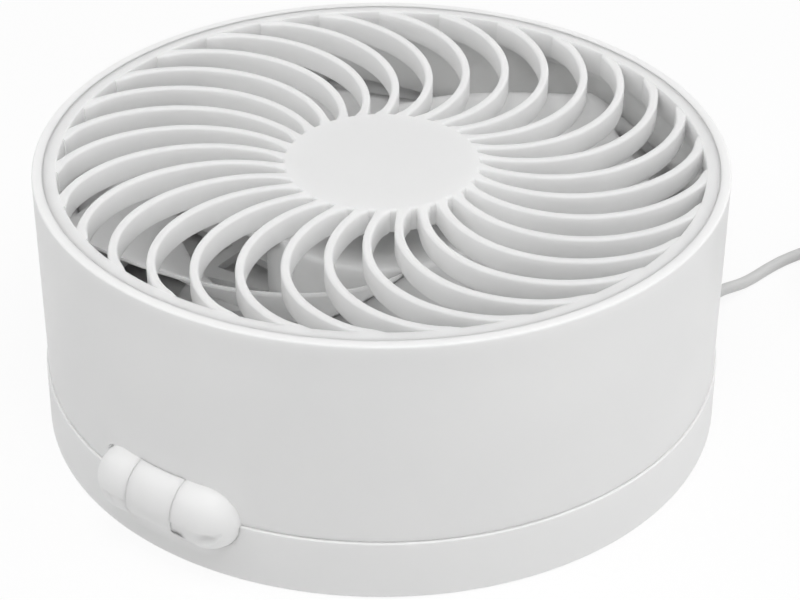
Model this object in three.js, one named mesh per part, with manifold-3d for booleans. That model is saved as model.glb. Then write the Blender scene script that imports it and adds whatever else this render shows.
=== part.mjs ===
// Foldable round air circulator: a fan drum that folds flat onto a thin round base.
// Millimetres, +Z up. The origin is on the floor, at the middle of the base's underside.
// The drum's tilt hinge is on the -Y side, and its axis runs along X.

import * as THREE from "three";
import { mergeVertices } from "three/addons/utils/BufferGeometryUtils.js";
import Module from "manifold-3d";

const wasm = await Module();
wasm.setup();

// ---- Driving dimensions -------------------------------------------------------------------

// Outside form
const drumRadius = 93;
const foldedHeight = 76;
const seamHeight = 17.5; // middle of the parting gap between base and drum, and the hinge axis
const seamGap = 0.4;
const wall = 2.4;
const floorPlate = 2.4;
const roundSides = 48;

// Clearances
const seat = 0.3; // between a piece and what it sits on or in
const running = 0.3; // round a shaft or a pin
const swing = 0.4; // round a knuckle that turns

// Base
const padRadius = 78;
const padThickness = 1.4;
const padProud = 0.8;
const baseFillet = 3;
const baseSkirt = 1.6; // how much thicker the base wall is below the lid's ledge
const lidThickness = 2;
const baseScrewCircle = 62;
const screwCount = 4;
const screwHeadRadius = 3;
const screwHeadHeight = 1.3;
const screwShankRadius = 1.4;
const screwBossRadius = 4.6;
const lidBossRadius = 3.6;
const counterboreDepth = 1.9;
const bossFloor = 2.1;
const ballastRadius = 52;
const ballastThickness = 3;

// Control board, switch and push button at the back of the base
const boardWidth = 40;
const boardDepth = 21;
const boardThickness = 1.2;
const boardLift = 3.3;
const boardInset = 8.8; // from the drum's outside to the board's outer edge
const postRadius = 1.8;
const chipHeight = 1.4;
const capacitorRadius = 2.2;
const capacitorHeight = 4;
const socketHeight = 3;
const buttonWidth = 10;
const buttonHeight = 5;
const buttonProud = 1.2;
const buttonTravel = 0.8;
const buttonFlange = 1.3; // lip all round that keeps the button in its hole
const flangeThickness = 1.2;
const stemWidth = 2.2;
const switchWidth = 6.4;
const switchDepth = 6.5;
const switchHeight = 4.2;
const socketDepth = 4;

// Hinge
const hingeInset = 2.8; // hinge axis inside the drum's outside
const knuckleRadius = 9.2;
const barrelHalf = 13.1; // half length of the straight part, without the domed ends
const middleHalf = 7.6;
const knuckleGap = 0.5;
const pocketWall = 1.6;
const pinRadius = 2;
const pinHalf = 17.5;
const washerRadius = 6;
const washerThickness = 0.4;
const scoopRadius = 2.6; // hollow scooped out of each outer knuckle, below the seam
const scoopDepth = 1.4;
const scoopLength = 2.8; // of its straight part
const scoopPlace = 16.4; // along the hinge, from the middle
const scoopAngle = 199; // degrees round the hinge axis
const flareReach = 7; // how far the base's fairing fades out past the middle knuckle
const fairingFoot = 3.6; // height where the fairing leaves the base wall
const knuckleSides = 16;

// Drum
const rimWidth = 2.75;
const rimFillet = 1;
const ledgeWidth = 2;
const ledgeThickness = 2;
const flangeReach = 6.6; // inner flange that carries the rear grille
const rearScrewInset = 3.3; // screw circle inside the drum's inner wall
const rearScrewRadius = 1;
const rearScrewHead = 2.2;

// Front grille
const grilleGap = 0.4;
const ringWidth = 3.4;
const ringDepth = 7.5;
const discRadius = 26.5;
const discThickness = 2.2;
const ribCount = 30;
const ribThickness = 2.3;
const ribDepth = 7.2;
const ribDish = 1.55; // how far the grille's middle lies below its edge
const ribEdgeDrop = 0.5;
const ribArcRadius = 37.25;
const ribStartAngle = -16.5; // degrees, where the first rib leaves the disc
const ribEndAngle = 6.4; // degrees, where it meets the ring
const ribSteps = 6;
const hookCount = 6;
const hookThickness = 1.5;
const hookDrop = 4.1;

// Impeller
const bladeCount = 5;
const bladeTipGap = 1.2; // from the blades to the drum's ledge
const bladeTop = 61.5;
const bladeHeight = 22;
const bladeThickness = 1.6;
const bladeSweep = 106; // degrees that the trailing edge sweeps from hub to tip
const bladeSweepPower = 1.4;
const bladeChord = 62; // degrees
const bladePhase = 10.2; // degrees, where the first blade's top edge ends at the tip
const hubRadius = 26;
const hubTop = 59;
const hubHeight = 23;
const hubWall = 2.2;
const hubRound = 1.5;

// Rear grille
const rearThickness = 2.4;
const motorDisc = 28;
const slotCount = 20;
const slotRows = [[33, 55], [59, 81]];
const slotShare = 0.66; // of the slot pitch

// Motor
const shaftRadius = 1.5;
const mountRadius = 24;
const mountThickness = 2.4;
const tubeRadius = 5.6;
const bearingRadius = 4;
const bearingHeight = 4;
const bearingLip = 3.4;
const cupWall = 1.4;
const cupBush = 4;
const cupBushDepth = 4.3;
const cupSkirt = 23.3;
const magnetThickness = 2.6;
const magnetHeight = 10;
const airGap = 0.8;
const coreHeight = 8;
const coreBase = 35;
const toothCount = 9;
const toothNeck = 3;
const toothTip = 3;
const coilBuild = 0.8;
const boardInner = 8;
const boardOuter = 19;
const motorBoardLift = 3.1;
const motorScrewCircle = 19;
const clipThickness = 0.6;

// Supply lead, wound coil and plug
const leadDiameter = 3.5;
const exitAngle = 54.8; // degrees round the base
const exitHeading = 82.6; // degrees, the way the lead leaves
const exitHeight = 5;
const reliefNose = 2.4;
const reliefCollar = 3.3;
const reliefLength = 13;
const reliefInside = 9.6; // its length inside the base wall
const coilCentre = [97, 140];
const coilMeanRadius = 19.25;
const coilLayers = 4;
const coilTurns = 8.417;
const coilPitch = 4;
const coilStartAngle = 150; // degrees
const coilStepsPerTurn = 24;
const tieThickness = 0.8;
const tieWidth = 6;
const tieSlack = 0.4;
const tieAngle = 265; // degrees round the coil
const plugWidth = 15.6;
const plugThickness = 8;
const plugBody = 23;
const plugNose = 9;
const plugRound = 2;
const shellWidth = 12;
const shellThickness = 4.5;
const shellLength = 12;
const shellWall = 0.4;
const floorGap = 0.02; // what lies on the floor clears it by this
const wireRadius = 1.1;
const wireBend = 4; // how far an inner lead runs straight before it bends
const wireInset = 11; // from the base's inner wall to the lead that runs along it

// ---- Derived sizes ------------------------------------------------------------------------

const deg = Math.PI / 180;
const underside = padProud;
const baseTop = seamHeight - seamGap / 2;
const drumBottom = seamHeight + seamGap / 2;
const drumInner = drumRadius - wall;
const baseInner = drumInner - baseSkirt;
const floorTop = underside + floorPlate;
const lidUnderside = baseTop - lidThickness;
const hingeY = hingeInset - drumRadius;
const washerSeat = middleHalf + knuckleGap - washerThickness - 2 * seat;
const flangeTop = drumBottom + wall;
const rearBottom = flangeTop + seat;
const rearTop = rearBottom + rearThickness;
const rimInner = drumRadius - rimWidth;
const ringOuter = rimInner - grilleGap;
const ringInner = ringOuter - ringWidth;
const ringBottom = foldedHeight - ringDepth;
const ledgeTop = ringBottom - seat;
const ledgeInner = rimInner - ledgeWidth;
const bladeTipRadius = ledgeInner - bladeTipGap;
const mountBottom = rearTop + seat;
const mountTop = mountBottom + mountThickness;
const motorBoardBottom = mountTop + motorBoardLift;
const hubInner = hubRadius - hubWall;
const cupOuter = hubInner - seat;
const cupInner = cupOuter - cupWall;
const cupTop = hubTop - hubWall - seat;
const magnetOuter = cupInner - seat;
const magnetInner = magnetOuter - magnetThickness;
const coreRadius = magnetInner - airGap;
const tubeTop = cupTop - cupWall - cupBushDepth - 2 * seat;
const tubeBore = bearingRadius + seat;
const boardOuterY = drumRadius - boardInset;
const boardBottom = floorTop + boardLift;
const boardTop = boardBottom + boardThickness;
const buttonZ = boardTop + seat + switchHeight / 2;

// ---- Helpers ------------------------------------------------------------------------------

const at = (radius, angle) => [radius * Math.cos(angle * deg), radius * Math.sin(angle * deg)];

// A closed mesh as a solid: merged corners, no triangle without area, faces outwards.
function solid(geometry) {
  const bare = new THREE.BufferGeometry();
  bare.setAttribute("position", geometry.getAttribute("position").clone());
  if (geometry.index) bare.setIndex(geometry.index.clone());
  const merged = mergeVertices(bare, 1e-4);
  const corners = Float32Array.from(merged.getAttribute("position").array);
  const index = merged.index.array;
  const kept = [];
  let volume = 0;
  const [a, b, c] = [new THREE.Vector3(), new THREE.Vector3(), new THREE.Vector3()];
  for (let i = 0; i < index.length; i += 3) {
    const [p, q, r] = [index[i], index[i + 1], index[i + 2]];
    if (p === q || q === r || r === p) continue;
    kept.push(p, q, r);
    a.fromArray(corners, 3 * p);
    b.fromArray(corners, 3 * q);
    c.fromArray(corners, 3 * r);
    volume += a.dot(b.cross(c));
  }
  if (volume < 0) {
    for (let i = 0; i < kept.length; i += 3) [kept[i], kept[i + 1]] = [kept[i + 1], kept[i]];
  }
  const mesh = new wasm.Mesh({ numProp: 3, vertProperties: corners, triVerts: Uint32Array.from(kept) });
  return new wasm.Manifold(mesh);
}

function geometryOf(body) {
  const mesh = body.getMesh();
  const geometry = new THREE.BufferGeometry();
  geometry.setAttribute("position", new THREE.BufferAttribute(Float32Array.from(mesh.vertProperties), 3));
  geometry.setIndex(Array.from(mesh.triVerts));
  geometry.computeVertexNormals();
  return geometry;
}

// A profile of [radius, height] points turned about Z. It starts and ends on the axis, or closes.
function turned(profile, sides = roundSides) {
  const points = profile.map(([r, z]) => new THREE.Vector2(r, z));
  if (profile[0][0] > 0) points.push(points[0].clone());
  return solid(new THREE.LatheGeometry(points, sides).rotateX(Math.PI / 2));
}

function disc(radius, low, high, sides = roundSides) {
  return turned([[0, low], [radius, low], [radius, high], [0, high]], sides);
}

function tube(inner, outer, low, high, sides = roundSides) {
  return turned([[inner, low], [outer, low], [outer, high], [inner, high]], sides);
}

function block(x0, x1, y0, y1, z0, z1) {
  const box = new THREE.BoxGeometry(x1 - x0, y1 - y0, z1 - z0);
  return solid(box.translate((x0 + x1) / 2, (y0 + y1) / 2, (z0 + z1) / 2));
}

// A flat outline of [x, y] points, with holes, raised from low to high.
function raised(outline, low, high, holes = []) {
  const shape = new THREE.Shape(outline.map(([x, y]) => new THREE.Vector2(x, y)));
  for (const hole of holes) shape.holes.push(new THREE.Path(hole.map(([x, y]) => new THREE.Vector2(x, y))));
  const options = { depth: high - low, bevelEnabled: false };
  return solid(new THREE.ExtrudeGeometry(shape, options).translate(0, 0, low));
}

// A skin through equal rings of points. Each ring goes out along one side and back along the other.
function loft(rings) {
  const size = rings[0].length;
  const points = rings.flat();
  const index = [];
  const quad = (a, b, c, d) => index.push(a, b, c, a, c, d);
  for (let r = 0; r + 1 < rings.length; r++) {
    for (let i = 0; i < size; i++) {
      const next = (i + 1) % size;
      quad(r * size + i, r * size + next, (r + 1) * size + next, (r + 1) * size + i);
    }
  }
  const last = (rings.length - 1) * size;
  for (let i = 0; i < size / 2 - 1; i++) {
    const [j, k] = [size - 1 - i, size - 2 - i];
    quad(i, j, k, i + 1);
    quad(last + i, last + i + 1, last + k, last + j);
  }
  const geometry = new THREE.BufferGeometry().setFromPoints(points);
  geometry.setIndex(index);
  return solid(geometry);
}

// A round bar along X, centred on the hinge axis.
function hingeBar(radius, x0, x1, sides = knuckleSides) {
  const bar = new THREE.CylinderGeometry(radius, radius, x1 - x0, sides).rotateZ(Math.PI / 2);
  return solid(bar.translate((x0 + x1) / 2, hingeY, seamHeight));
}

// A dome-ended bar on the hinge axis: the outline of all the knuckles together.
function hingePill(radius) {
  const pill = new THREE.CapsuleGeometry(radius, 2 * barrelHalf, 4, knuckleSides).rotateZ(Math.PI / 2);
  return solid(pill.translate(0, hingeY, seamHeight));
}

function slab(x0, x1) {
  const reach = 2 * knuckleRadius;
  return block(x0, x1, hingeY - reach, hingeY + reach, seamHeight - reach, seamHeight + reach);
}

// A tube along points, with its ends square to the path. A smooth path is a curve through them.
function rod(points, radius, sides, steps, tension = "centripetal") {
  const path = new THREE.CatmullRomCurve3(points.map((p) => new THREE.Vector3(...p)), false, tension);
  const section = new THREE.Shape();
  for (let i = 0; i < sides; i++) {
    const [x, y] = at(radius, (360 * i) / sides);
    if (i === 0) section.moveTo(x, y);
    else section.lineTo(x, y);
  }
  return solid(new THREE.ExtrudeGeometry(section, { steps, extrudePath: path, bevelEnabled: false }));
}

function around(count, start, make) {
  return Array.from({ length: count }, (_, i) => make(start + (360 * i) / count, i));
}

function join(bodies) {
  return bodies.reduce((sum, body) => sum.add(body));
}

function cut(body, tools) {
  return tools.reduce((rest, tool) => rest.subtract(tool), body);
}

function pill(width, height, steps = 4) {
  const end = height / 2;
  const outline = [];
  for (let i = 0; i <= steps; i++) {
    const [x, y] = at(end, -90 + (180 * i) / steps);
    outline.push([width / 2 - end + x, y]);
  }
  return outline.concat(outline.map(([x, y]) => [-x, -y]));
}

// An outline of [x, z] points run along Y.
function alongY(outline, y0, y1, z) {
  const shape = new THREE.Shape(outline.map(([x, h]) => new THREE.Vector2(x, h)));
  const bar = new THREE.ExtrudeGeometry(shape, { depth: y1 - y0, bevelEnabled: false });
  return solid(bar.rotateX(Math.PI / 2).translate(0, y1, z));
}

// ---- Materials ----------------------------------------------------------------------------

const white = () => new THREE.MeshStandardMaterial({ color: 0xe9e9e8, roughness: 0.45, metalness: 0 });
const rubber = () => new THREE.MeshStandardMaterial({ color: 0x8c8d8f, roughness: 0.8, metalness: 0 });
const steel = () => new THREE.MeshStandardMaterial({ color: 0x9a9c9f, roughness: 0.35, metalness: 0.9 });
const copper = () => new THREE.MeshStandardMaterial({ color: 0xb06a3a, roughness: 0.4, metalness: 0.8 });
const boardGreen = () => new THREE.MeshStandardMaterial({ color: 0x2f6b4a, roughness: 0.6, metalness: 0 });
const black = () => new THREE.MeshStandardMaterial({ color: 0x2a2b2d, roughness: 0.55, metalness: 0 });
const leadWhite = () => new THREE.MeshStandardMaterial({ color: 0xdededd, roughness: 0.55, metalness: 0 });

const fan = new THREE.Group();

function add(name, body, material) {
  const mesh = new THREE.Mesh(body.isBufferGeometry ? body : geometryOf(body), material);
  mesh.name = name;
  fan.add(mesh);
  return mesh;
}

// ---- Base ---------------------------------------------------------------------------------

function quarterRound(cornerRadius, cornerHeight, fillet, from, to, steps = 3) {
  const arc = [];
  for (let i = 0; i <= steps; i++) {
    const [dr, dz] = at(fillet, from + ((to - from) * i) / steps);
    arc.push([cornerRadius + dr, cornerHeight + dz]);
  }
  return arc;
}

function baseTub() {
  const recess = padThickness + seat;
  const corner = quarterRound(drumRadius - baseFillet, underside + baseFillet, baseFillet, -90, 0);
  return turned([
    [0, recess],
    [padRadius + seat, recess],
    [padRadius + seat, underside],
    ...corner,
    [drumRadius, baseTop],
    [drumInner, baseTop],
    [drumInner, lidUnderside - seat],
    [baseInner, lidUnderside - seat],
    [baseInner, floorTop],
    [0, floorTop],
  ]);
}

// The fairing that blends the middle knuckle into the base wall, fading out to each side.
function hingeFairing() {
  const tangent = 210;
  const [outY, outZ] = at(knuckleRadius, tangent);
  const bulge = hingeY + outY + drumRadius;
  const topZ = seamHeight + outZ;
  const stations = [-1, -0.75, -0.5, -0.25, 0, 0, 0.25, 0.5, 0.75, 1];
  const rings = stations.map((share, i) => {
    const side = i < stations.length / 2 ? -1 : 1;
    const x = side * middleHalf + share * flareReach;
    const fade = (1 + Math.cos(Math.PI * share)) / 2;
    const wallY = -Math.sqrt(drumRadius ** 2 - x ** 2) + 0.2;
    const inner = wallY + wall / 2;
    const reach = [0, 0.4, 0.8, 1, 1].map((part) => wallY + part * bulge * fade);
    const height = [0, 0.45, 0.85, 1, 1.3].map((part) => fairingFoot + part * (topZ - fairingFoot));
    const out = reach.map((y, k) => new THREE.Vector3(x, y, height[k]));
    const back = height.map((z) => new THREE.Vector3(x, inner, z)).reverse();
    return out.concat(back);
  });
  return loft(rings);
}

function middleKnuckle() {
  const [outY, outZ] = at(knuckleRadius, 210);
  const web = [
    [hingeY + outY, seamHeight + outZ],
    [-drumRadius + 0.2, fairingFoot],
    [hingeY + 0.65 * knuckleRadius, floorTop - wall / 2],
    [hingeY + 1.05 * knuckleRadius, seamHeight - 0.5 * knuckleRadius],
    [hingeY + 0.9 * knuckleRadius, baseTop - 0.1],
    [hingeY, seamHeight],
  ];
  const outline = new THREE.Shape(web.map(([y, z]) => new THREE.Vector2(y, z)));
  const plate = new THREE.ExtrudeGeometry(outline, { depth: 2 * middleHalf, bevelEnabled: false });
  plate.applyMatrix4(new THREE.Matrix4().set(0, 0, 1, -middleHalf, 1, 0, 0, 0, 0, 1, 0, 0, 0, 0, 0, 1));
  const seats = [-1, 1].map((side) => {
    const ends = [side * washerSeat, side * (middleHalf + 1)];
    return hingeBar(washerRadius + seat, Math.min(...ends), Math.max(...ends), 16);
  });
  return cut(solid(plate).add(hingeBar(knuckleRadius, -middleHalf, middleHalf)), seats);
}

function reliefAxis(length) {
  const axis = new THREE.Object3D();
  const [x, y] = at(drumRadius, exitAngle);
  axis.position.set(x, y, exitHeight);
  axis.rotation.set(0, Math.PI / 2, exitHeading * deg, "ZYX");
  axis.translateZ(length);
  axis.updateMatrix();
  return axis;
}

function alongExit(body) {
  return body.transform(reliefAxis(0).matrix.elements);
}

function baseShell() {
  const bossTop = floorTop - floorPlate + padThickness - underside + seat + counterboreDepth + bossFloor;
  const recess = padThickness + seat;
  const places = around(screwCount, 45, (angle) => at(baseScrewCircle, angle));
  const boss = places.map(([x, y]) => disc(screwBossRadius, recess, bossTop, 16).translate([x, y, 0]));
  const bore = places.map(([x, y]) => disc(screwShankRadius + 0.5, 0, bossTop + 1, 12).translate([x, y, 0]));
  const sink = places.map(([x, y]) => {
    return disc(screwHeadRadius + seat, 0, recess + counterboreDepth, 12).translate([x, y, 0]);
  });
  const posts = [-1, 1].flatMap((side) => [0.2, 0.8].map((share) => {
    const post = disc(postRadius, floorTop - floorPlate / 2, boardBottom - seat, 8);
    return post.translate([side * 0.4 * boardWidth, boardOuterY - share * boardDepth, 0]);
  }));
  const cup = hingePill(knuckleRadius + swing + pocketWall).intersect(disc(drumRadius - 0.1, floorTop - 1, baseTop));
  const shell = join([baseTub(), cup, hingeFairing(), ...boss, ...posts]);
  const buttonHole = pill(buttonWidth + 2 * seat, buttonHeight + 2 * seat);
  const opened = cut(shell, [
    hingePill(knuckleRadius + swing),
    ...bore,
    ...sink,
    alongY(buttonHole, baseInner - 3, drumRadius + 3, buttonZ),
    alongExit(disc(reliefNose + seat, -reliefInside - 1, 12, 16)),
  ]);
  return opened.add(middleKnuckle()).subtract(hingeBar(pinRadius + running, -middleHalf - 1, middleHalf + 1, 16));
}

function baseLid() {
  const bossTop = padThickness + seat + counterboreDepth + bossFloor;
  const places = around(screwCount, 45, (angle) => at(baseScrewCircle, angle));
  const boss = places.map(([x, y]) => disc(lidBossRadius, bossTop + seat, lidUnderside + 0.5, 12).translate([x, y, 0]));
  const bore = places.map(([x, y]) => disc(screwShankRadius + seat, 0, lidUnderside - 1, 12).translate([x, y, 0]));
  const plate = disc(drumInner - seat, lidUnderside, baseTop).subtract(
    hingePill(knuckleRadius + swing + pocketWall + seat),
  );
  return cut(join([plate, ...boss]), bore);
}

function screw(headRadius, headHeight, shankRadius, shankLength) {
  const tip = shankRadius / 2;
  return turned([
    [0, 0],
    [headRadius, 0],
    [headRadius, headHeight],
    [shankRadius, headHeight],
    [shankRadius, headHeight + shankLength - tip],
    [0, headHeight + shankLength],
  ], 8);
}

add("base_shell", baseShell(), white());
add("base_lid", baseLid(), white());
add("anti_slip_pad", disc(padRadius, 0, padThickness, 40), rubber());
add("ballast_plate", disc(ballastRadius, floorTop + seat, floorTop + seat + ballastThickness, 28), steel());

around(screwCount, 45, (angle, i) => {
  const headBottom = padThickness + seat + counterboreDepth - seat - screwHeadHeight;
  const reach = lidUnderside - 3 - headBottom - screwHeadHeight;
  const piece = add(`base_screw_${i + 1}`, screw(screwHeadRadius, screwHeadHeight, screwShankRadius, reach), steel());
  piece.position.set(...at(baseScrewCircle, angle), headBottom);
});

// ---- Controls in the base -----------------------------------------------------------------

function controlBoard() {
  const half = boardWidth / 2;
  const inner = boardOuterY - boardDepth;
  const plate = block(-half, half, inner, boardOuterY, boardBottom, boardTop);
  const foot = boardTop - boardThickness / 6;
  const [near, far] = [inner + 0.2 * boardDepth, inner + 0.45 * boardDepth];
  const chip = block(-0.55 * half, -0.25 * half, near, far, foot, boardTop + chipHeight);
  const can = disc(capacitorRadius, foot, boardTop + capacitorHeight, 10);
  const capacitor = can.translate([0.6 * half, near + capacitorRadius, 0]);
  const socket = block(-0.95 * half, -0.7 * half, near, far, foot, boardTop + socketHeight);
  return join([plate, chip, capacitor, socket]);
}

const switchFront = boardOuterY + seat;
const switchZ = boardTop + seat;

function switchBody() {
  const half = switchWidth / 2;
  const body = block(-half, half, switchFront - switchDepth, switchFront, switchZ, switchZ + switchHeight);
  const play = stemWidth / 2 + seat;
  const socket = block(-play, play, switchFront - socketDepth, switchFront + 1, buttonZ - play, buttonZ + play);
  return body.subtract(socket);
}

function speedButton() {
  const lip = 2 * buttonFlange;
  const flangeFront = Math.sqrt(baseInner ** 2 - (buttonWidth / 2 + buttonFlange) ** 2) - seat;
  const cap = alongY(pill(buttonWidth, buttonHeight), flangeFront - flangeThickness, drumRadius + buttonProud, buttonZ);
  const flange = alongY(pill(buttonWidth + lip, buttonHeight + lip), flangeFront - flangeThickness, flangeFront, buttonZ);
  const half = stemWidth / 2;
  const stemEnd = switchFront - socketDepth + buttonTravel + seat;
  const stem = block(-half, half, stemEnd, flangeFront, buttonZ - half, buttonZ + half);
  return join([cap, flange, stem]);
}

add("control_board", controlBoard(), boardGreen());
add("switch_body", switchBody(), black());
add("speed_button", speedButton(), white());

// ---- Hinge --------------------------------------------------------------------------------

function hingePin() {
  const end = 0.5;
  const pin = turned([
    [0, -pinHalf],
    [pinRadius - end, -pinHalf],
    [pinRadius, end - pinHalf],
    [pinRadius, pinHalf - end],
    [pinRadius - end, pinHalf],
    [0, pinHalf],
  ], 16);
  return pin.rotate([0, 90, 0]).translate([0, hingeY, seamHeight]);
}

function frictionWasher(side) {
  const inner = side * (washerSeat + seat);
  const ring = tube(pinRadius + running, washerRadius, 0, washerThickness, 16);
  return ring.rotate([0, side * 90, 0]).translate([inner, hingeY, seamHeight]);
}

add("hinge_pin", hingePin(), steel());
add("friction_washer_left", frictionWasher(-1), steel());
add("friction_washer_right", frictionWasher(1), steel());

// ---- Drum ---------------------------------------------------------------------------------

function drumTube() {
  const rim = quarterRound(drumRadius - rimFillet, foldedHeight - rimFillet, rimFillet, 0, 90, 2);
  return turned([
    [drumInner - flangeReach, drumBottom],
    [drumRadius - 0.4, drumBottom],
    [drumRadius, drumBottom + 0.4],
    ...rim,
    [rimInner, foldedHeight],
    [rimInner, ledgeTop],
    [ledgeInner, ledgeTop],
    [ledgeInner, ledgeTop - ledgeThickness],
    [drumInner, ledgeTop - ledgeThickness],
    [drumInner, flangeTop],
    [drumInner - flangeReach, flangeTop],
  ]);
}

// The hollow in each outer knuckle's outer face, just below the seam.
function knuckleScoop(side) {
  const scoop = new THREE.CapsuleGeometry(scoopRadius, scoopLength, 3, 12).rotateZ(Math.PI / 2);
  const surface = Math.sqrt(knuckleRadius ** 2 - (scoopPlace - barrelHalf) ** 2);
  const [y, z] = at(surface + scoopRadius - scoopDepth, scoopAngle);
  return solid(scoop.translate(side * scoopPlace, hingeY + y, seamHeight + z));
}

const leadZ = rearTop + seat + wireRadius;
const leadX = -11.5;

function drumShell() {
  const inner = middleHalf + knuckleGap;
  const knuckles = hingePill(knuckleRadius).subtract(slab(-inner, inner));
  const hollow = hingeBar(knuckleRadius + swing, -inner, inner);
  const places = around(screwCount, 45, (angle) => at(drumInner - rearScrewInset, angle));
  const holes = places.map(([x, y]) => {
    return disc(rearScrewRadius + seat, drumBottom + 0.5, flangeTop + 1, 10).translate([x, y, 0]);
  });
  const socketTop = hingeY + 2;
  const wirePath = [[leadX, socketTop, leadZ], [leadX, hingeY + knuckleRadius + 2, leadZ]];
  return cut(drumTube().subtract(hollow).add(knuckles), [
    hingeBar(pinRadius + running, -pinHalf - 0.5, pinHalf + 0.5, 16),
    knuckleScoop(-1),
    knuckleScoop(1),
    rod(wirePath, wireRadius + seat, 8, 1),
    ...holes,
  ]);
}

add("drum_shell", drumShell(), white());

// ---- Front grille -------------------------------------------------------------------------

// The arc that every rib follows, as a centre and two angles.
function ribArc() {
  const start = new THREE.Vector2(...at(discRadius - ribThickness / 2, ribStartAngle));
  const end = new THREE.Vector2(...at(ringInner + ribThickness / 2, ribEndAngle));
  const middle = start.clone().add(end).multiplyScalar(0.5);
  const chord = end.clone().sub(start);
  const rise = Math.sqrt(ribArcRadius ** 2 - chord.lengthSq() / 4);
  const centre = middle.add(new THREE.Vector2(-chord.y, chord.x).normalize().multiplyScalar(rise));
  const from = Math.atan2(start.y - centre.y, start.x - centre.x);
  const to = Math.atan2(end.y - centre.y, end.x - centre.x);
  return { centre, from, sweep: to - from };
}

function ribTop(radius) {
  const share = Math.min(1, Math.max(0, (radius - discRadius) / (ringInner - discRadius)));
  return foldedHeight - ribEdgeDrop - ribDish * (1 - share ** 3);
}

function spiralRib() {
  const { centre, from, sweep } = ribArc();
  const rings = [];
  for (let i = 0; i <= ribSteps; i++) {
    const angle = from + (sweep * i) / ribSteps;
    const [nx, ny] = [Math.cos(angle), Math.sin(angle)];
    const [x, y] = [centre.x + ribArcRadius * nx, centre.y + ribArcRadius * ny];
    const top = ribTop(Math.hypot(x, y));
    const foot = top - ribDepth + ribEdgeDrop;
    const half = ribThickness / 2;
    const corner = (side, z) => new THREE.Vector3(x + side * half * nx, y + side * half * ny, z);
    rings.push([corner(-1, top), corner(1, top), corner(1, foot), corner(-1, foot)]);
  }
  return loft(rings);
}

function centreDisc() {
  const top = ribTop(discRadius);
  const foot = top - ribDepth + ribEdgeDrop;
  return turned([
    [0, top - discThickness],
    [discRadius - discThickness, top - discThickness],
    [discRadius - discThickness, foot],
    [discRadius, foot],
    [discRadius, top - 0.4],
    [discRadius - 0.4, top],
    [0, top],
  ], ribCount);
}

// A catch that passes inside the drum's ledge and hooks under it.
function grilleHook(angle) {
  const low = ringBottom - hookDrop;
  const barbTop = ledgeTop - ledgeThickness - seat;
  const outer = ledgeInner - seat;
  const stem = block(outer - hookThickness, outer, -4, 4, low, ringBottom + 1);
  const barb = block(outer - hookThickness, outer + 1.3, -4, 4, low, barbTop);
  return stem.add(barb).rotate([0, 0, angle]);
}

function frontGrille() {
  const rib = spiralRib();
  const ribs = around(ribCount, 0, (angle) => rib.rotate([0, 0, angle]));
  const ring = tube(ringInner, ringOuter, ringBottom, foldedHeight);
  const bore = disc(discRadius - discThickness, 0, ribTop(discRadius) - discThickness, ribCount);
  return join([ring, centreDisc(), join(ribs).subtract(bore), ...around(hookCount, 36, grilleHook)]);
}

add("front_grille", frontGrille(), white());

// ---- Rear grille --------------------------------------------------------------------------

function rearSlot(low, high, angle) {
  const half = (slotShare * 180) / slotCount;
  return [
    at(low, angle - half),
    at(high, angle - half),
    at(high, angle + half),
    at(low, angle + half),
  ];
}

function rearGrille() {
  const outline = around(roundSides, 0, (angle) => at(drumInner - seat, angle));
  const slots = slotRows.flatMap(([low, high]) => {
    const row = around(slotCount, 0, (angle) => ({ angle, outline: rearSlot(low, high, angle) }));
    const clear = row.filter(({ angle }) => high < motorDisc * 2 || Math.abs(angle - 270) > 180 / slotCount);
    return clear.map(({ outline }) => outline);
  });
  const places = around(screwCount, 45, (angle) => at(drumInner - rearScrewInset, angle));
  const mounts = around(3, 30, (angle) => at(motorScrewCircle, angle));
  const holes = [...places, ...mounts].map(([x, y]) => {
    return disc(rearScrewRadius + seat, rearBottom - 1, rearTop + 1, 10).translate([x, y, 0]);
  });
  const plate = raised(outline, rearBottom, rearTop, slots);
  return cut(plate, [hingePill(knuckleRadius + seat), ...holes]);
}

add("rear_grille", rearGrille(), white());

const rearScrewHeight = 1;
around(screwCount, 45, (angle, i) => {
  const length = rearTop + seat - drumBottom - 0.9;
  const piece = add(`rear_screw_${i + 1}`, screw(rearScrewHead, rearScrewHeight, rearScrewRadius, length), steel());
  piece.rotation.x = Math.PI;
  piece.position.set(...at(drumInner - rearScrewInset, angle), rearTop + seat + rearScrewHeight);
});

// ---- Motor --------------------------------------------------------------------------------

function motorMount() {
  const body = turned([
    [tubeBore, mountBottom],
    [mountRadius, mountBottom],
    [mountRadius, mountTop],
    [tubeRadius, mountTop],
    [tubeRadius, tubeTop],
    [tubeBore, tubeTop],
    [tubeBore, tubeTop - bearingHeight - 2 * seat],
    [bearingLip, tubeTop - bearingHeight - 2 * seat],
    [bearingLip, mountTop + bearingHeight + 2 * seat],
    [tubeBore, mountTop + bearingHeight + 2 * seat],
  ], 24);
  const posts = around(3, 90, (angle) => {
    return disc(postRadius, mountTop - 0.5, motorBoardBottom - seat, 8).translate([...at(14, angle), 0]);
  });
  const holes = around(3, 30, (angle) => {
    return disc(rearScrewRadius + seat, mountBottom - 1, mountTop + 1, 10).translate([...at(motorScrewCircle, angle), 0]);
  });
  return cut(join([body, ...posts]), holes);
}

function motorBoard() {
  const top = motorBoardBottom + boardThickness;
  const plate = tube(boardInner, boardOuter, motorBoardBottom, top, 20);
  const driver = block(-2.5, 2.5, 11, 16, top - 0.2, top + 1);
  const sensors = around(3, 200, (angle) => block(15, 17, -1.2, 1.2, top - 0.2, top + 1).rotate([0, 0, angle]));
  return join([plate, driver, ...sensors]);
}

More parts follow.
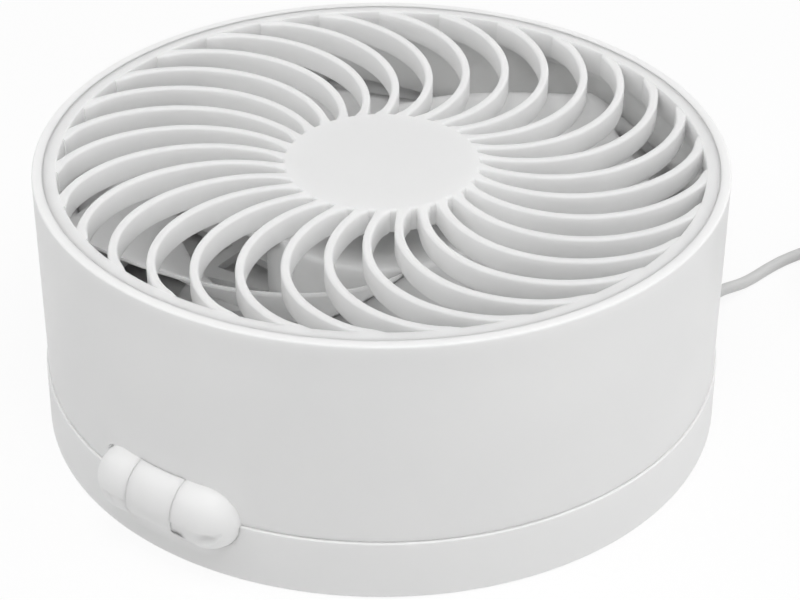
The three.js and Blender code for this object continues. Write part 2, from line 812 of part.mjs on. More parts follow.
// One lamination outline: a ring with a neck and a wide tip for each tooth.
function coreOutline() {
  const root = tubeRadius + seat + 2.4;
  const neckEnd = coreRadius - toothTip;
  const outline = [];
  around(toothCount, 0, (angle) => {
    const neckAt = (radius, side) => {
      const spread = Math.asin(toothNeck / 2 / radius) / deg;
      return at(radius, angle + side * spread);
    };
    const tipHalf = 180 / toothCount - 3;
    outline.push(neckAt(root, -1), neckAt(neckEnd, -1), at(neckEnd + 1, angle - tipHalf), at(coreRadius, angle - tipHalf));
    outline.push(at(coreRadius, angle), at(coreRadius, angle + tipHalf), at(neckEnd + 1, angle + tipHalf));
    outline.push(neckAt(neckEnd, 1), neckAt(root, 1));
  });
  return outline;
}

function statorCore() {
  const bore = around(20, 0, (angle) => at(tubeRadius + seat + 0.1, angle));
  return raised(coreOutline(), coreBase, coreBase + coreHeight, [bore]);
}

// A collar of wire round each tooth's neck, with the run of wire that joins them below the core.
function statorWindings() {
  const inner = tubeRadius + seat + 2.4 + 0.6;
  const outer = coreRadius - toothTip - seat;
  const clear = toothNeck / 2 + seat;
  const full = clear + coilBuild;
  const [low, high] = [coreBase - seat, coreBase + coreHeight + seat];
  const collars = around(toothCount, 0, (angle) => {
    const wire = block(inner, outer, -full, full, low - coilBuild, high + coilBuild);
    const neck = block(inner - 1, outer + 1, -clear, clear, low, high);
    return wire.subtract(neck).rotate([0, 0, angle]);
  });
  return join([tube(inner, inner + 1.5, low - coilBuild, low - 0.1, 24), ...collars]);
}

function bearing(low) {
  const [inner, outer] = [shaftRadius + running, bearingRadius];
  const race = (outer - inner) / 3;
  const groove = 0.4;
  const high = low + bearingHeight;
  return turned([
    [inner, low],
    [outer, low],
    [outer, high],
    [outer - race, high],
    [outer - race, high - groove],
    [inner + race, high - groove],
    [inner + race, high],
    [inner, high],
  ], 16);
}

function rotorCup() {
  const bore = shaftRadius + seat;
  return turned([
    [bore, cupTop - cupWall - cupBushDepth],
    [cupBush, cupTop - cupWall - cupBushDepth],
    [cupBush, cupTop - cupWall],
    [cupInner, cupTop - cupWall],
    [cupInner, cupTop - cupSkirt],
    [cupOuter, cupTop - cupSkirt],
    [cupOuter, cupTop],
    [bore, cupTop],
  ], 24);
}

const magnetMiddle = coreBase + coreHeight / 2;
const clipZ = mountBottom + 1;

add("motor_mount", motorMount(), white());
around(3, 30, (angle, i) => {
  const length = mountTop + seat - rearBottom - 0.4;
  const piece = add(`motor_screw_${i + 1}`, screw(rearScrewHead, rearScrewHeight, rearScrewRadius, length), steel());
  piece.rotation.x = Math.PI;
  piece.position.set(...at(motorScrewCircle, angle), mountTop + seat + rearScrewHeight);
});
add("motor_board", motorBoard(), boardGreen());
add("stator_core", statorCore(), steel());
add("stator_windings", statorWindings(), copper());
add("bearing_rear", bearing(mountTop + seat), steel());
add("bearing_front", bearing(tubeTop - bearingHeight - seat), steel());
add("motor_shaft", disc(shaftRadius, clipZ - 0.8, cupTop, 16), steel());
add("retaining_clip", tube(shaftRadius + seat, bearingLip, clipZ, clipZ + clipThickness, 16), steel());
add("rotor_cup", rotorCup(), steel());
const magnetLow = magnetMiddle - magnetHeight / 2;
add("magnet_ring", tube(magnetInner, magnetOuter, magnetLow, magnetLow + magnetHeight, 24), black());

// ---- Impeller -----------------------------------------------------------------------------

// One blade: its top edge sweeps back from hub to tip, and its face falls away along the chord.
function blade(phase) {
  const stations = 6;
  const chordSteps = 6;
  const root = hubRadius - hubWall / 2;
  const rings = [];
  for (let i = 0; i < stations; i++) {
    const share = i / (stations - 1);
    const radius = root + (bladeTipRadius - root) * share;
    const sweep = bladeSweep * (1 - share) ** bladeSweepPower;
    const top = hubTop - 1.5 + (bladeTop - hubTop + 1.5) * Math.min(1, 1.6 * share);
    const height = bladeHeight * (1 - 0.15 * share);
    const front = [];
    const back = [];
    for (let k = 0; k <= chordSteps; k++) {
      const along = k / chordSteps;
      const angle = phase + sweep - bladeChord * along;
      const z = top - height * (0.35 * along + 0.65 * Math.sin((along * Math.PI) / 2) ** 1.2);
      const thick = bladeThickness * (k === chordSteps ? 0.5 : 1);
      const [x, y] = at(radius, angle);
      front.push(new THREE.Vector3(x, y, z));
      back.push(new THREE.Vector3(x, y, z - thick));
    }
    rings.push([...front, ...back.reverse()]);
  }
  return loft(rings);
}

function impeller() {
  const crown = quarterRound(hubRadius - hubRound, hubTop - hubRound, hubRound, 0, 90, 2);
  const hub = turned([
    [0, hubTop - hubWall],
    [hubInner, hubTop - hubWall],
    [hubInner, hubTop - hubHeight],
    [hubRadius, hubTop - hubHeight],
    ...crown,
    [0, hubTop],
  ], 40);
  return join([hub, ...around(bladeCount, bladePhase, blade)]);
}

add("impeller", impeller(), white());

// ---- Inner leads --------------------------------------------------------------------------

function headLead() {
  const start = motorBoardBottom + boardThickness / 2;
  const y = -Math.sqrt((boardOuter + seat) ** 2 - leadX ** 2);
  const end = hingeY + 2 + 0.5;
  return rod([
    [leadX, y - wireRadius, start],
    [leadX, y - wireBend, start - wireRadius],
    [leadX, y - 2.5 * wireBend, leadZ],
    [leadX, y - 5 * wireBend, leadZ],
    [leadX, end + 2 * wireBend, leadZ],
    [leadX, end, leadZ],
  ], wireRadius, 6, 14);
}

function baseLead() {
  const z = floorTop + seat + wireRadius;
  const half = boardWidth / 2 + seat;
  const y = boardOuterY - boardDepth / 2;
  const alongWall = [140, 163, 187, 210, 230, 250].map((angle) => [...at(baseInner - wireInset, angle), z]);
  return rod([
    [-half, y, boardBottom + boardThickness / 2],
    [-half - wireBend, y, boardBottom],
    [-half - 3.5 * wireBend, y - 0.75 * wireBend, z],
    ...alongWall,
    [-middleHalf - 1.5 * wireBend, hingeY + 1.8 * knuckleRadius, z],
    [-wireBend / 2, hingeY + 1.4 * knuckleRadius, z],
  ], wireRadius, 6, 20);
}

function supplyLead() {
  const end = reliefAxis(-reliefInside - seat);
  const half = boardWidth / 2 + seat;
  const y = boardOuterY - boardDepth / 2;
  const back = reliefAxis(-reliefInside - wireBend);
  return rod([
    [end.position.x, end.position.y, end.position.z],
    [back.position.x, back.position.y, back.position.z],
    [back.position.x - 2 * wireBend, back.position.y, (exitHeight + boardBottom) / 2],
    [half + 2.5 * wireBend, y - wireBend / 2, boardBottom],
    [half + wireBend, y, boardBottom + boardThickness / 2],
    [half, y, boardBottom + boardThickness / 2],
  ], wireRadius, 6, 14);
}

add("head_lead", headLead(), leadWhite());
add("base_lead", baseLead(), leadWhite());
add("supply_lead", supplyLead(), leadWhite());

// ---- Supply cord --------------------------------------------------------------------------

// A soft nose that grips the lead where it leaves the base, with a collar inside the wall.
function strainRelief() {
  const outside = 2.2;
  const body = turned([
    [0, -reliefInside],
    [reliefNose, -reliefInside],
    [reliefNose, outside],
    [reliefCollar, outside],
    [reliefCollar, outside + 1.6],
    [reliefNose, reliefLength],
    [0, reliefLength],
  ], 16);
  const collar = disc(reliefCollar + 0.8, -reliefInside, -reliefInside + 2.2, 16);
  const under = exitHeight - floorTop - seat;
  return body.add(collar.intersect(block(-10, under, -10, 10, -20, 0)));
}

const relief = add("strain_relief", strainRelief(), leadWhite());
relief.applyMatrix4(reliefAxis(0).matrix);

// The lead's free stretch, point by point along its middle, down to the floor and to the coil.
const freeRoute = [
  [55.32, 89.21, 5],
  [55.8, 92.9, 4.88],
  [56.35, 96.9, 4.4],
  [56.95, 101.5, 3.3],
  [57.6, 106.3, 2.25],
  [58.3, 111.2, 1.8],
  [59.1, 116.4, 1.8],
  [60, 121.4, 1.8],
  [61.2, 126.3, 1.8],
  [62.9, 131, 1.9],
  [65.1, 135.4, 2.2],
  [67.7, 139.6, 2.6],
  [70.3, 143.5, 2.85],
  [72.6, 147.2, 1.8],
  [74.62, 150.7, 1.8],
];

const coilLift = floorGap + tieThickness + seat + leadDiameter / 2;
const coilSwing = (coilPitch * coilTurns) / coilLayers / 2;

function coilPath() {
  const total = coilTurns * 360;
  const perLayer = total / coilLayers;
  const steps = Math.round(coilTurns * coilStepsPerTurn);
  const points = [];
  for (let i = 0; i <= steps; i++) {
    const wound = (total * i) / steps;
    const layer = Math.min(coilLayers - 1, Math.floor(wound / perLayer));
    const share = wound / perLayer - layer;
    const radius = coilMeanRadius + coilSwing * (layer % 2 === 0 ? 1 - 2 * share : 2 * share - 1);
    const level = Math.round(wound / perLayer);
    const past = level > 0 && level < coilLayers ? (wound - level * perLayer) / 180 + 0.5 : 1;
    const climb = Math.min(1, Math.max(0, past));
    const rise = level === 0 ? 0 : level - 1 + climb * climb * (3 - 2 * climb);
    const height = Math.min(rise, coilLayers - 1) * coilPitch;
    const [x, y] = at(radius, coilStartAngle - wound);
    points.push(new THREE.Vector3(coilCentre[0] + x, coilCentre[1] + y, coilLift + height));
  }
  const lead = points[0].clone().sub(points[1]).setZ(0).setLength(leadDiameter);
  const tail = points.at(-1).clone().sub(points.at(-2)).setZ(0).setLength(leadDiameter);
  return [points[0].clone().add(lead), ...points, points.at(-1).clone().add(tail)];
}

// A tube of six sides round given points, each ring square to the path and level with the floor.
function sweptTube(points, radius, sides) {
  const up = new THREE.Vector3(0, 0, 1);
  const rings = points.map((point, i) => {
    const before = points[Math.max(0, i - 1)];
    const after = points[Math.min(points.length - 1, i + 1)];
    const tangent = after.clone().sub(before).normalize();
    const across = tangent.clone().cross(up).normalize();
    const over = across.clone().cross(tangent);
    return Array.from({ length: sides }, (_, k) => {
      const angle = ((k + 0.5) * 2 * Math.PI) / sides;
      const out = across.clone().multiplyScalar(radius * Math.cos(angle));
      return point.clone().add(out).add(over.clone().multiplyScalar(radius * Math.sin(angle)));
    });
  });
  return loft(rings);
}

function leastGap(points) {
  let least = Infinity;
  for (let i = 0; i < points.length; i++) {
    for (let j = i + coilStepsPerTurn / 2; j + 1 < points.length; j++) {
      const segment = new THREE.Line3(points[j], points[j + 1]);
      const near = segment.closestPointToPoint(points[i], true, new THREE.Vector3());
      least = Math.min(least, near.distanceTo(points[i]));
    }
  }
  return least - leadDiameter;
}

// A thin strap looped round the coil's turns at one place; the coil lies on it.
function cordTie() {
  const half = coilSwing + leadDiameter / 2 + tieSlack;
  const low = floorGap + tieThickness;
  const high = coilLift + (coilLayers - 1) * coilPitch + leadDiameter / 2 + tieSlack;
  const loop = (grow, corner) => {
    const outline = roundedPlate(2 * (half + grow), high - low + 2 * grow, corner + grow);
    return outline.map(([x, y]) => [x, y + (low + high) / 2]);
  };
  const strap = alongY(loop(tieThickness, 1.2), -tieWidth / 2, tieWidth / 2, 0);
  const hole = alongY(loop(0, 1.2), -tieWidth, tieWidth, 0);
  const [x, y] = at(coilMeanRadius, tieAngle);
  return strap.subtract(hole).rotate([0, 0, tieAngle]).translate([coilCentre[0] + x, coilCentre[1] + y, 0]);
}

function pathLength(points) {
  return points.slice(1).reduce((sum, p, i) => sum + p.distanceTo(points[i]), 0);
}

const coil = coilPath();
const coilStart = coil[0];
const coilEnd = coil.at(-1);
const coilHeading = coilEnd.clone().sub(coil.at(-2)).normalize();

// The tail drops from the top turn to the floor, beside the coil, where the plug lies.
const plugAxisHeight = plugThickness / 2 + floorGap;
const tailDrop = coilEnd.z - plugAxisHeight;
const tailShape = [[0, 0], [3.5, 0], [8, -0.1], [13, -0.3], [18, -0.55], [23, -0.8], [28, -0.95], [32, -1], [36, -1]];
const tailRoute = tailShape.map(([run, drop]) => [
  coilEnd.x + coilHeading.x * (run + seat),
  coilEnd.y + coilHeading.y * (run + seat),
  coilEnd.z + drop * tailDrop,
]);

const coilHead = coil[1].clone().sub(coil[0]).normalize();
const freeEnd = coilStart.clone().addScaledVector(coilHead, -seat);
const beforeEnd = coilStart.clone().addScaledVector(coilHead, -seat - leadDiameter);
const route = [...freeRoute.slice(0, -2), [beforeEnd.x, beforeEnd.y, beforeEnd.z], [freeEnd.x, freeEnd.y, freeEnd.z]];

add("supply_cord", rod(route, leadDiameter / 2, 8, 26), leadWhite());
add("cord_coil", sweptTube(coil, leadDiameter / 2, 6), leadWhite());
add("cord_tail", rod(tailRoute, leadDiameter / 2, 8, 12), leadWhite());
add("cord_tie", cordTie(), black());
console.log("coil: least gap to itself", leastGap(coil).toFixed(2), "mm");
console.log("coil: length", pathLength(coil).toFixed(0), "mm");

// ---- Plug ---------------------------------------------------------------------------------

function roundedPlate(width, height, fillet, steps = 3) {
  const outline = [];
  for (const [sx, sy, from] of [[1, 1, 0], [-1, 1, 90], [-1, -1, 180], [1, -1, 270]]) {
    for (let i = 0; i <= steps; i++) {
      const [x, y] = at(fillet, from + (90 * i) / steps);
      outline.push([sx * (width / 2 - fillet) + x, sy * (height / 2 - fillet) + y]);
    }
  }
  return outline;
}

function plugMoulding() {
  const section = roundedPlate(plugWidth, plugThickness, plugRound);
  const scale = [[0, 0.3], [plugNose * 0.7, 0.42], [plugNose, 0.86], [plugNose + 2, 1], [plugNose + plugBody, 1]];
  const rings = scale.map(([z, share]) => section.map(([x, y]) => {
    const squash = share < 0.5 ? (2.6 * share) / 0.42 : (plugThickness / 2) * share;
    const wide = share < 0.5 ? (2.6 * share) / 0.42 : (plugWidth / 2) * share;
    return new THREE.Vector3((x / (plugWidth / 2)) * wide, (y / (plugThickness / 2)) * squash, z);
  }));
  const body = loft(rings.map((ring) => ring.slice()));
  const pocket = raised(roundedPlate(shellWidth + 2 * seat, shellThickness + 2 * seat, 0.5, 1), plugNose + plugBody - 3, plugNose + plugBody + 1);
  return body.subtract(pocket);
}

function plugShell() {
  const low = plugNose + plugBody - 3 + seat;
  const high = plugNose + plugBody + shellLength;
  const outer = raised(roundedPlate(shellWidth, shellThickness, 0.4, 1), low, high);
  const inner = roundedPlate(shellWidth - 2 * shellWall, shellThickness - 2 * shellWall, 0.3, 1);
  return outer.subtract(raised(inner, low + 1, high + 1));
}

function plugTongue() {
  const low = plugNose + plugBody - 3 + seat + 1 + seat;
  const high = plugNose + plugBody + shellLength - 1;
  return block(-5.2, 5.2, 0.1, 1.4, low, high);
}

function onPlugAxis(mesh) {
  const last = tailRoute.at(-1);
  const heading = Math.atan2(coilHeading.y, coilHeading.x);
  const frame = new THREE.Matrix4().makeBasis(
    new THREE.Vector3(-Math.sin(heading), Math.cos(heading), 0),
    new THREE.Vector3(0, 0, 1),
    new THREE.Vector3(Math.cos(heading), Math.sin(heading), 0),
  );
  frame.setPosition(last[0] + Math.cos(heading) * seat, last[1] + Math.sin(heading) * seat, plugAxisHeight);
  mesh.applyMatrix4(frame);
}

onPlugAxis(add("plug_moulding", plugMoulding(), white()));
onPlugAxis(add("plug_shell", plugShell(), steel()));
onPlugAxis(add("plug_tongue", plugTongue(), black()));

export default fan;
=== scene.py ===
import math

import bmesh
import bpy
from mathutils import Matrix, Vector


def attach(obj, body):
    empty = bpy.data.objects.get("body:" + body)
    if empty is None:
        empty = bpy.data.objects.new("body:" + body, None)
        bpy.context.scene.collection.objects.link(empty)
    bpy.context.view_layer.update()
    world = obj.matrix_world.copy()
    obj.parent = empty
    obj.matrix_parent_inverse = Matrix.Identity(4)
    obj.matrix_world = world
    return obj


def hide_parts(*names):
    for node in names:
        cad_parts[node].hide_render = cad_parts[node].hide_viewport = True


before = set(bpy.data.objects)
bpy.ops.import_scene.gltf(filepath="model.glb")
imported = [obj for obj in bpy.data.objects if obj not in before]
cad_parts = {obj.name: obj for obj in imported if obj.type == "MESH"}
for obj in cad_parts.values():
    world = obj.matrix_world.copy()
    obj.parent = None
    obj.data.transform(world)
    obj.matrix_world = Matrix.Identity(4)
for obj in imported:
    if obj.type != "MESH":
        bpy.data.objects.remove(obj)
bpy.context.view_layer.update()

MM = 0.001


# ---- Camera -------------------------------------------------------------------------------
# Stands 0.67 m from the fan and looks down about 33 degrees on its hinge side. The lens is
# long, so the drum's walls taper only a little.

camera = bpy.data.objects.new("camera", bpy.data.cameras.new("camera"))
bpy.context.scene.collection.objects.link(camera)
forward = Vector((-0.49139, 0.68263, -0.54089)).normalized()
right = Vector((0.81000, 0.58642, 0.00421))
right = (right - forward * right.dot(forward)).normalized()
up = right.cross(forward)
turn = Matrix((right, up, -forward)).transposed().to_4x4()
camera.matrix_world = Matrix.Translation(Vector((327.13, -445.82, 384.96)) * MM) @ turn
camera.data.lens = 106.37
camera.data.sensor_width = 36
camera.data.clip_start = 0.02
camera.data.clip_end = 20
bpy.context.scene.camera = camera


# ---- Supply cord --------------------------------------------------------------------------
# A soft white round lead, 3.5 mm thick. It leaves the strain relief, sinks to the floor and
# runs into a neat coil of four layers, from which its tail drops to the plug.

LEAD = 3.5
COIL_X, COIL_Y, COIL_MEAN, COIL_TURNS, COIL_LAYERS, TURN_PITCH = 97, 140, 19.25, 8.417, 4, 4
COIL_SWING = TURN_PITCH * COIL_TURNS / COIL_LAYERS / 2
FLOOR_GAP, STRAP, STRAP_ROOM = 0.02, 0.8, 0.3
COIL_LOW = FLOOR_GAP + STRAP + STRAP_ROOM + LEAD / 2


def polar(radius, angle):
    return radius * math.cos(math.radians(angle)), radius * math.sin(math.radians(angle))


def coil_points():
    """The coil's middle line: each layer runs in or out and climbs on over half a turn."""
    total = COIL_TURNS * 360
    per_layer = total / COIL_LAYERS
    steps = round(COIL_TURNS * 24)
    made = []
    for i in range(steps + 1):
        wound = total * i / steps
        layer = min(COIL_LAYERS - 1, int(wound // per_layer))
        share = wound / per_layer - layer
        inward = 1 - 2 * share if layer % 2 == 0 else 2 * share - 1
        level = math.floor(wound / per_layer + 0.5)
        past = (wound - level * per_layer) / 180 + 0.5 if 0 < level < COIL_LAYERS else 1
        climb = min(1, max(0, past))
        rise = 0 if level == 0 else level - 1 + climb * climb * (3 - 2 * climb)
        height = COIL_LOW + min(rise, COIL_LAYERS - 1) * TURN_PITCH
        x, y = polar(COIL_MEAN + COIL_SWING * inward, 150 - wound)
        made.append(Vector((COIL_X + x, COIL_Y + y, height)))
    return made


coil = coil_points()
lead_in = (coil[0] - coil[1]) * Vector((1, 1, 0))
lead_out = (coil[-1] - coil[-2]) * Vector((1, 1, 0))
lead_in, lead_out = lead_in.normalized(), lead_out.normalized()
coil_start = coil[0] + lead_in * LEAD
coil_end = coil[-1] + lead_out * LEAD
free_route = [
    (55.27, 88.83, 5), (55.8, 92.9, 4.88), (56.35, 96.9, 4.4), (56.95, 101.5, 3.3),
    (57.6, 106.3, 2.25), (58.3, 111.2, 1.8), (59.1, 116.4, 1.8), (60, 121.4, 1.8),
    (61.2, 126.3, 1.8), (62.9, 131, 1.9), (65.1, 135.4, 2.2), (67.7, 139.6, 2.6),
    (70.3, 143.5, 2.85),
]
tail_shape = [
    (8, -0.1), (13, -0.3), (18, -0.55), (23, -0.8), (28, -0.95), (32, -1), (36, -1),
]
plug_height = 4.02
tail = [coil_end + lead_out * (run + 0.3) + Vector((0, 0, drop * (coil_end.z - plug_height)))
        for run, drop in tail_shape]
plug_start = tail[-1] + lead_out * 0.3
tail[-1] = plug_start + lead_out * 4
cord_line = [Vector(p) for p in free_route] + [coil_start + lead_in * LEAD * 0.6, coil_start]
cord_line += coil + [coil_end] + tail

curve = bpy.data.curves.new("supply_lead_fine", "CURVE")
curve.dimensions = "3D"
spline = curve.splines.new("BEZIER")
spline.bezier_points.add(len(cord_line) - 1)
for knot, place in zip(spline.bezier_points, cord_line):
    knot.co = place * MM
    knot.handle_left_type = knot.handle_right_type = "AUTO"
spline.resolution_u = 4
curve.bevel_depth = LEAD / 2 * MM
curve.bevel_resolution = 5
curve.use_fill_caps = True
cord = bpy.data.objects.new("supply_cord_fine", curve)
bpy.context.scene.collection.objects.link(cord)

# Shared effect: a fine even grain, as a spark-eroded mould leaves it, and a slow drift of tone.
grain = bpy.data.node_groups.new("moulded_grain", "ShaderNodeTree")
grain.interface.new_socket("Fine scale", in_out="INPUT", socket_type="NodeSocketFloat")
grain.interface.new_socket("Depth", in_out="INPUT", socket_type="NodeSocketFloat")
grain.interface.new_socket("Normal", in_out="OUTPUT", socket_type="NodeSocketVector")
grain.interface.new_socket("Fine", in_out="OUTPUT", socket_type="NodeSocketFloat")
grain.interface.new_socket("Broad", in_out="OUTPUT", socket_type="NodeSocketFloat")
group_in = grain.nodes.new("NodeGroupInput")
group_out = grain.nodes.new("NodeGroupOutput")
where = grain.nodes.new("ShaderNodeTexCoord")
fine = grain.nodes.new("ShaderNodeTexNoise")
fine.inputs["Detail"].default_value = 3
fine.inputs["Roughness"].default_value = 0.6
broad = grain.nodes.new("ShaderNodeTexNoise")
broad.inputs["Scale"].default_value = 22
broad.inputs["Detail"].default_value = 2
bump = grain.nodes.new("ShaderNodeBump")
bump.inputs["Distance"].default_value = 0.00006
link = grain.links.new
link(where.outputs["Object"], fine.inputs["Vector"])
link(group_in.outputs["Fine scale"], fine.inputs["Scale"])
link(where.outputs["Object"], broad.inputs["Vector"])
link(fine.outputs["Fac"], bump.inputs["Height"])
link(group_in.outputs["Depth"], bump.inputs["Strength"])
link(bump.outputs["Normal"], group_out.inputs["Normal"])
link(fine.outputs["Fac"], group_out.inputs["Fine"])
link(broad.outputs["Fac"], group_out.inputs["Broad"])


def grained(name, dark, light, rough, scale=2600, depth=0.25, metal=0.0, sheen=0.0, coat=0.0,
            glow=0.0):
    """A material whose colour drifts between two near tones, with grain in its gloss and bump.

    glow is how far light travels inside it, in mm.
    """
    material = bpy.data.materials.new(name)
    material.use_nodes = True
    tree = material.node_tree
    shader = tree.nodes["Principled BSDF"]
    effect = tree.nodes.new("ShaderNodeGroup")
    effect.node_tree = grain
    effect.inputs["Fine scale"].default_value = scale
    effect.inputs["Depth"].default_value = depth
    tone = tree.nodes.new("ShaderNodeValToRGB")
    tone.color_ramp.elements[0].position = 0.3
    tone.color_ramp.elements[1].position = 0.7
    tone.color_ramp.elements[0].color = (*dark, 1)
    tone.color_ramp.elements[1].color = (*light, 1)
    gloss = tree.nodes.new("ShaderNodeMapRange")
    gloss.inputs["To Min"].default_value = rough - 0.04
    gloss.inputs["To Max"].default_value = rough + 0.05
    tree.links.new(effect.outputs["Broad"], tone.inputs["Fac"])
    tree.links.new(tone.outputs["Color"], shader.inputs["Base Color"])
    tree.links.new(effect.outputs["Fine"], gloss.inputs["Value"])
    tree.links.new(gloss.outputs["Result"], shader.inputs["Roughness"])
    tree.links.new(effect.outputs["Normal"], shader.inputs["Normal"])
    shader.inputs["Metallic"].default_value = metal
    shader.inputs["Sheen Weight"].default_value = sheen
    shader.inputs["Coat Weight"].default_value = coat
    if glow:
        shader.inputs["Subsurface Weight"].default_value = 1
        shader.inputs["Subsurface Radius"].default_value = (1, 1, 1)
        shader.inputs["Subsurface Scale"].default_value = glow * MM
    return material


sheath = grained("soft_white_sheath", (0.60, 0.60, 0.60), (0.64, 0.64, 0.635), 0.46, 1800, 0.15)
cord.data.materials.append(sheath)


# ---- Plug ---------------------------------------------------------------------------------
# A flat plug on the lead's end: a white moulding with a stepped nose and grip grooves, a bright
# folded shell with two latch windows, and a dark tongue with four contacts inside it.


def mesh_piece(name, verts, faces, material, angle=32):
    """A mesh object with outward faces, smooth where neighbours meet under the angle."""
    mesh = bpy.data.meshes.new(name)
    mesh.from_pydata([tuple(v) for v in verts], [], faces)
    work = bmesh.new()
    work.from_mesh(mesh)
    bmesh.ops.remove_doubles(work, verts=work.verts, dist=1e-7)
    bmesh.ops.recalc_face_normals(work, faces=work.faces)
    work.to_mesh(mesh)
    work.free()
    piece = bpy.data.objects.new(name, mesh)
    bpy.context.scene.collection.objects.link(piece)
    mesh.materials.append(material)
    smooth(piece, angle)
    return piece


def smooth(piece, angle=32):
    piece.data.polygons.foreach_set("use_smooth", [True] * len(piece.data.polygons))
    piece.data.set_sharp_from_angle(angle=math.radians(angle))


def rings_piece(name, rings, material, closed=False, capped=True, angle=32):
    """A skin through equal rings of points; closed rings join the last to the first."""
    size = len(rings[0])
    verts = [p for ring in rings for p in ring]
    faces = []
    count = len(rings)
    for r in range(count if closed else count - 1):
        for i in range(size):
            a, b = r * size + i, r * size + (i + 1) % size
            c, d = (r + 1) % count * size + (i + 1) % size, (r + 1) % count * size + i
            faces.append((a, b, c, d))
    if capped and not closed:
        faces.append(tuple(range(size)))
        faces.append(tuple((count - 1) * size + i for i in range(size)))
    return mesh_piece(name, verts, faces, material, angle)


def bake(piece):
    """The piece's modifiers worked into a plain mesh."""
    bpy.context.view_layer.update()
    graph = bpy.context.evaluated_depsgraph_get()
    made = bpy.data.meshes.new_from_object(piece.evaluated_get(graph))
    piece.modifiers.clear()
    piece.data = made
    return piece


def with_boolean(piece, tools, operation):
    """The piece with each tool cut from it, joined to it or kept in common; the tools go."""
    for tool in tools:
        step = piece.modifiers.new("cut", "BOOLEAN")
        step.operation = operation
        step.solver = "MANIFOLD"
        step.object = tool
        bake(piece)
        bpy.data.objects.remove(tool)
    return piece


def bevelled(piece, width, segments, limit):
    """The piece with its edges sharper than the limit, in degrees, rounded by width mm."""
    step = piece.modifiers.new("soften", "BEVEL")
    step.width = width * MM
    step.segments = segments
    step.limit_method = "ANGLE"
    step.angle_limit = math.radians(limit)
    step.use_clamp_overlap = True
    step.harden_normals = False
    return bake(piece)


def rounded_plate(width, height, corner, steps=6):
    """Outline of a plate with round corners."""
    outline = []
    for sx, sy, start in ((1, 1, 0), (-1, 1, 90), (-1, -1, 180), (1, -1, 270)):
        for i in range(steps + 1):
            x, y = polar(corner, start + 90 * i / steps)
            outline.append((sx * (width / 2 - corner) + x, sy * (height / 2 - corner) + y))
    return outline


plug_axes = Matrix((
    (-lead_out.y, lead_out.x, 0),
    (0, 0, 1),
    (lead_out.x, lead_out.y, 0),
)).transposed().to_4x4()
plug_place = Matrix.Translation(plug_start * MM) @ plug_axes

GRIP_GROOVES = ((15, 15.4, 16.4, 16.8), (18.6, 19, 20, 20.4), (22.2, 22.6, 23.6, 24))
plug_stations = [
    (0, 2.1, 2.1, 1), (0.6, 2.5, 2.5, 1), (5.6, 2.75, 2.7, 1), (6.3, 2.8, 2.75, 1),
    (7.6, 4.6, 3.1, 0.75), (8.6, 6.2, 3.45, 0.55), (9.6, 7.1, 3.75, 0.45),
    (10.8, 7.55, 3.92, 0.4), (12, 7.75, 3.97, 0.4),
]
for wide, narrow_from, narrow_to, wide_again in GRIP_GROOVES:
    plug_stations += [
        (wide, 7.75, 3.97, 0.4), (narrow_from, 7.45, 3.97, 0.4),
        (narrow_to, 7.45, 3.97, 0.4), (wide_again, 7.75, 3.97, 0.4),
    ]
plug_stations += [(31, 7.75, 3.97, 0.4), (31.6, 7.65, 3.87, 0.4), (32, 7.3, 3.5, 0.4)]
plug_rings = []
for z, half_x, half_y, corner in plug_stations:
    outline = rounded_plate(2 * half_x, 2 * half_y, corner * min(half_x, half_y) * 0.999)
    plug_rings.append([plug_place @ (Vector((x, y, z)) * MM) for x, y in outline])
plug_white = grained("plug_white_moulding", (0.62, 0.62, 0.62), (0.65, 0.65, 0.645), 0.5, 1800, 0.3)
plug = rings_piece("plug_moulding_fine", plug_rings, plug_white, angle=28)

steel = grained(
    "bright_plated_steel", (0.52, 0.53, 0.54), (0.62, 0.63, 0.64), 0.26, 900, 0.05, metal=1.0
)
outer = rounded_plate(11.96, 4.46, 0.5, 4)
inner = rounded_plate(11.16, 3.66, 0.2, 4)
shell_section = [
    (outer, 29.5), (outer, 43.7), (outer, 43.95), (inner, 43.95), (inner, 43.7), (inner, 29.6),
]
shell_rings = []
for outline, z in shell_section:
    grow = 0.99 if z > 43.9 and outline is outer else 1
    shell_rings.append([plug_place @ (Vector((x * grow, y * grow, z)) * MM) for x, y in outline])
plug_shell = rings_piece("plug_shell_fine", shell_rings, steel)
windows = []
for side in (-1, 1):
    for face in (-1, 1):
        low = (side * 2.9 - 1.2, face * 2.1 - 0.9, 35.6)
        high = (side * 2.9 + 1.2, face * 2.1 + 0.9, 38)
        around = ((low[0], low[1]), (high[0], low[1]), (high[0], high[1]), (low[0], high[1]))
        corners = []
        for z in (low[2], high[2]):
            corners += [plug_place @ (Vector((x, y, z)) * MM) for x, y in around]
        windows.append(rings_piece("window", [corners[:4], corners[4:]], steel))
with_boolean(plug_shell, windows, "DIFFERENCE")
smooth(plug_shell)

dark = grained("dark_moulded_plastic", (0.022, 0.023, 0.025), (0.032, 0.033, 0.035), 0.5, 1500, 0.3)
gilt = grained("gilt_contact", (0.75, 0.55, 0.24), (0.8, 0.6, 0.3), 0.3, 900, 0.05, metal=1.0)
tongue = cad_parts["plug_tongue"]
tongue.data.materials.clear()
tongue.data.materials.append(dark)
contacts = []
for i, x in enumerate((-3.5, -1, 1, 3.5)):
    outline = rounded_plate(1, 0.2, 0.05, 2)
    rings = []
    for z in (34, 42.2):
        rings.append([plug_place @ (Vector((x + a, 0.05 + b, z)) * MM) for a, b in outline])
    contacts.append(rings_piece(f"plug_contact_{i + 1}", rings, gilt))
for piece in (plug, plug_shell, *contacts):
    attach(piece, "base")
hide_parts("plug_moulding")
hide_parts("plug_shell")

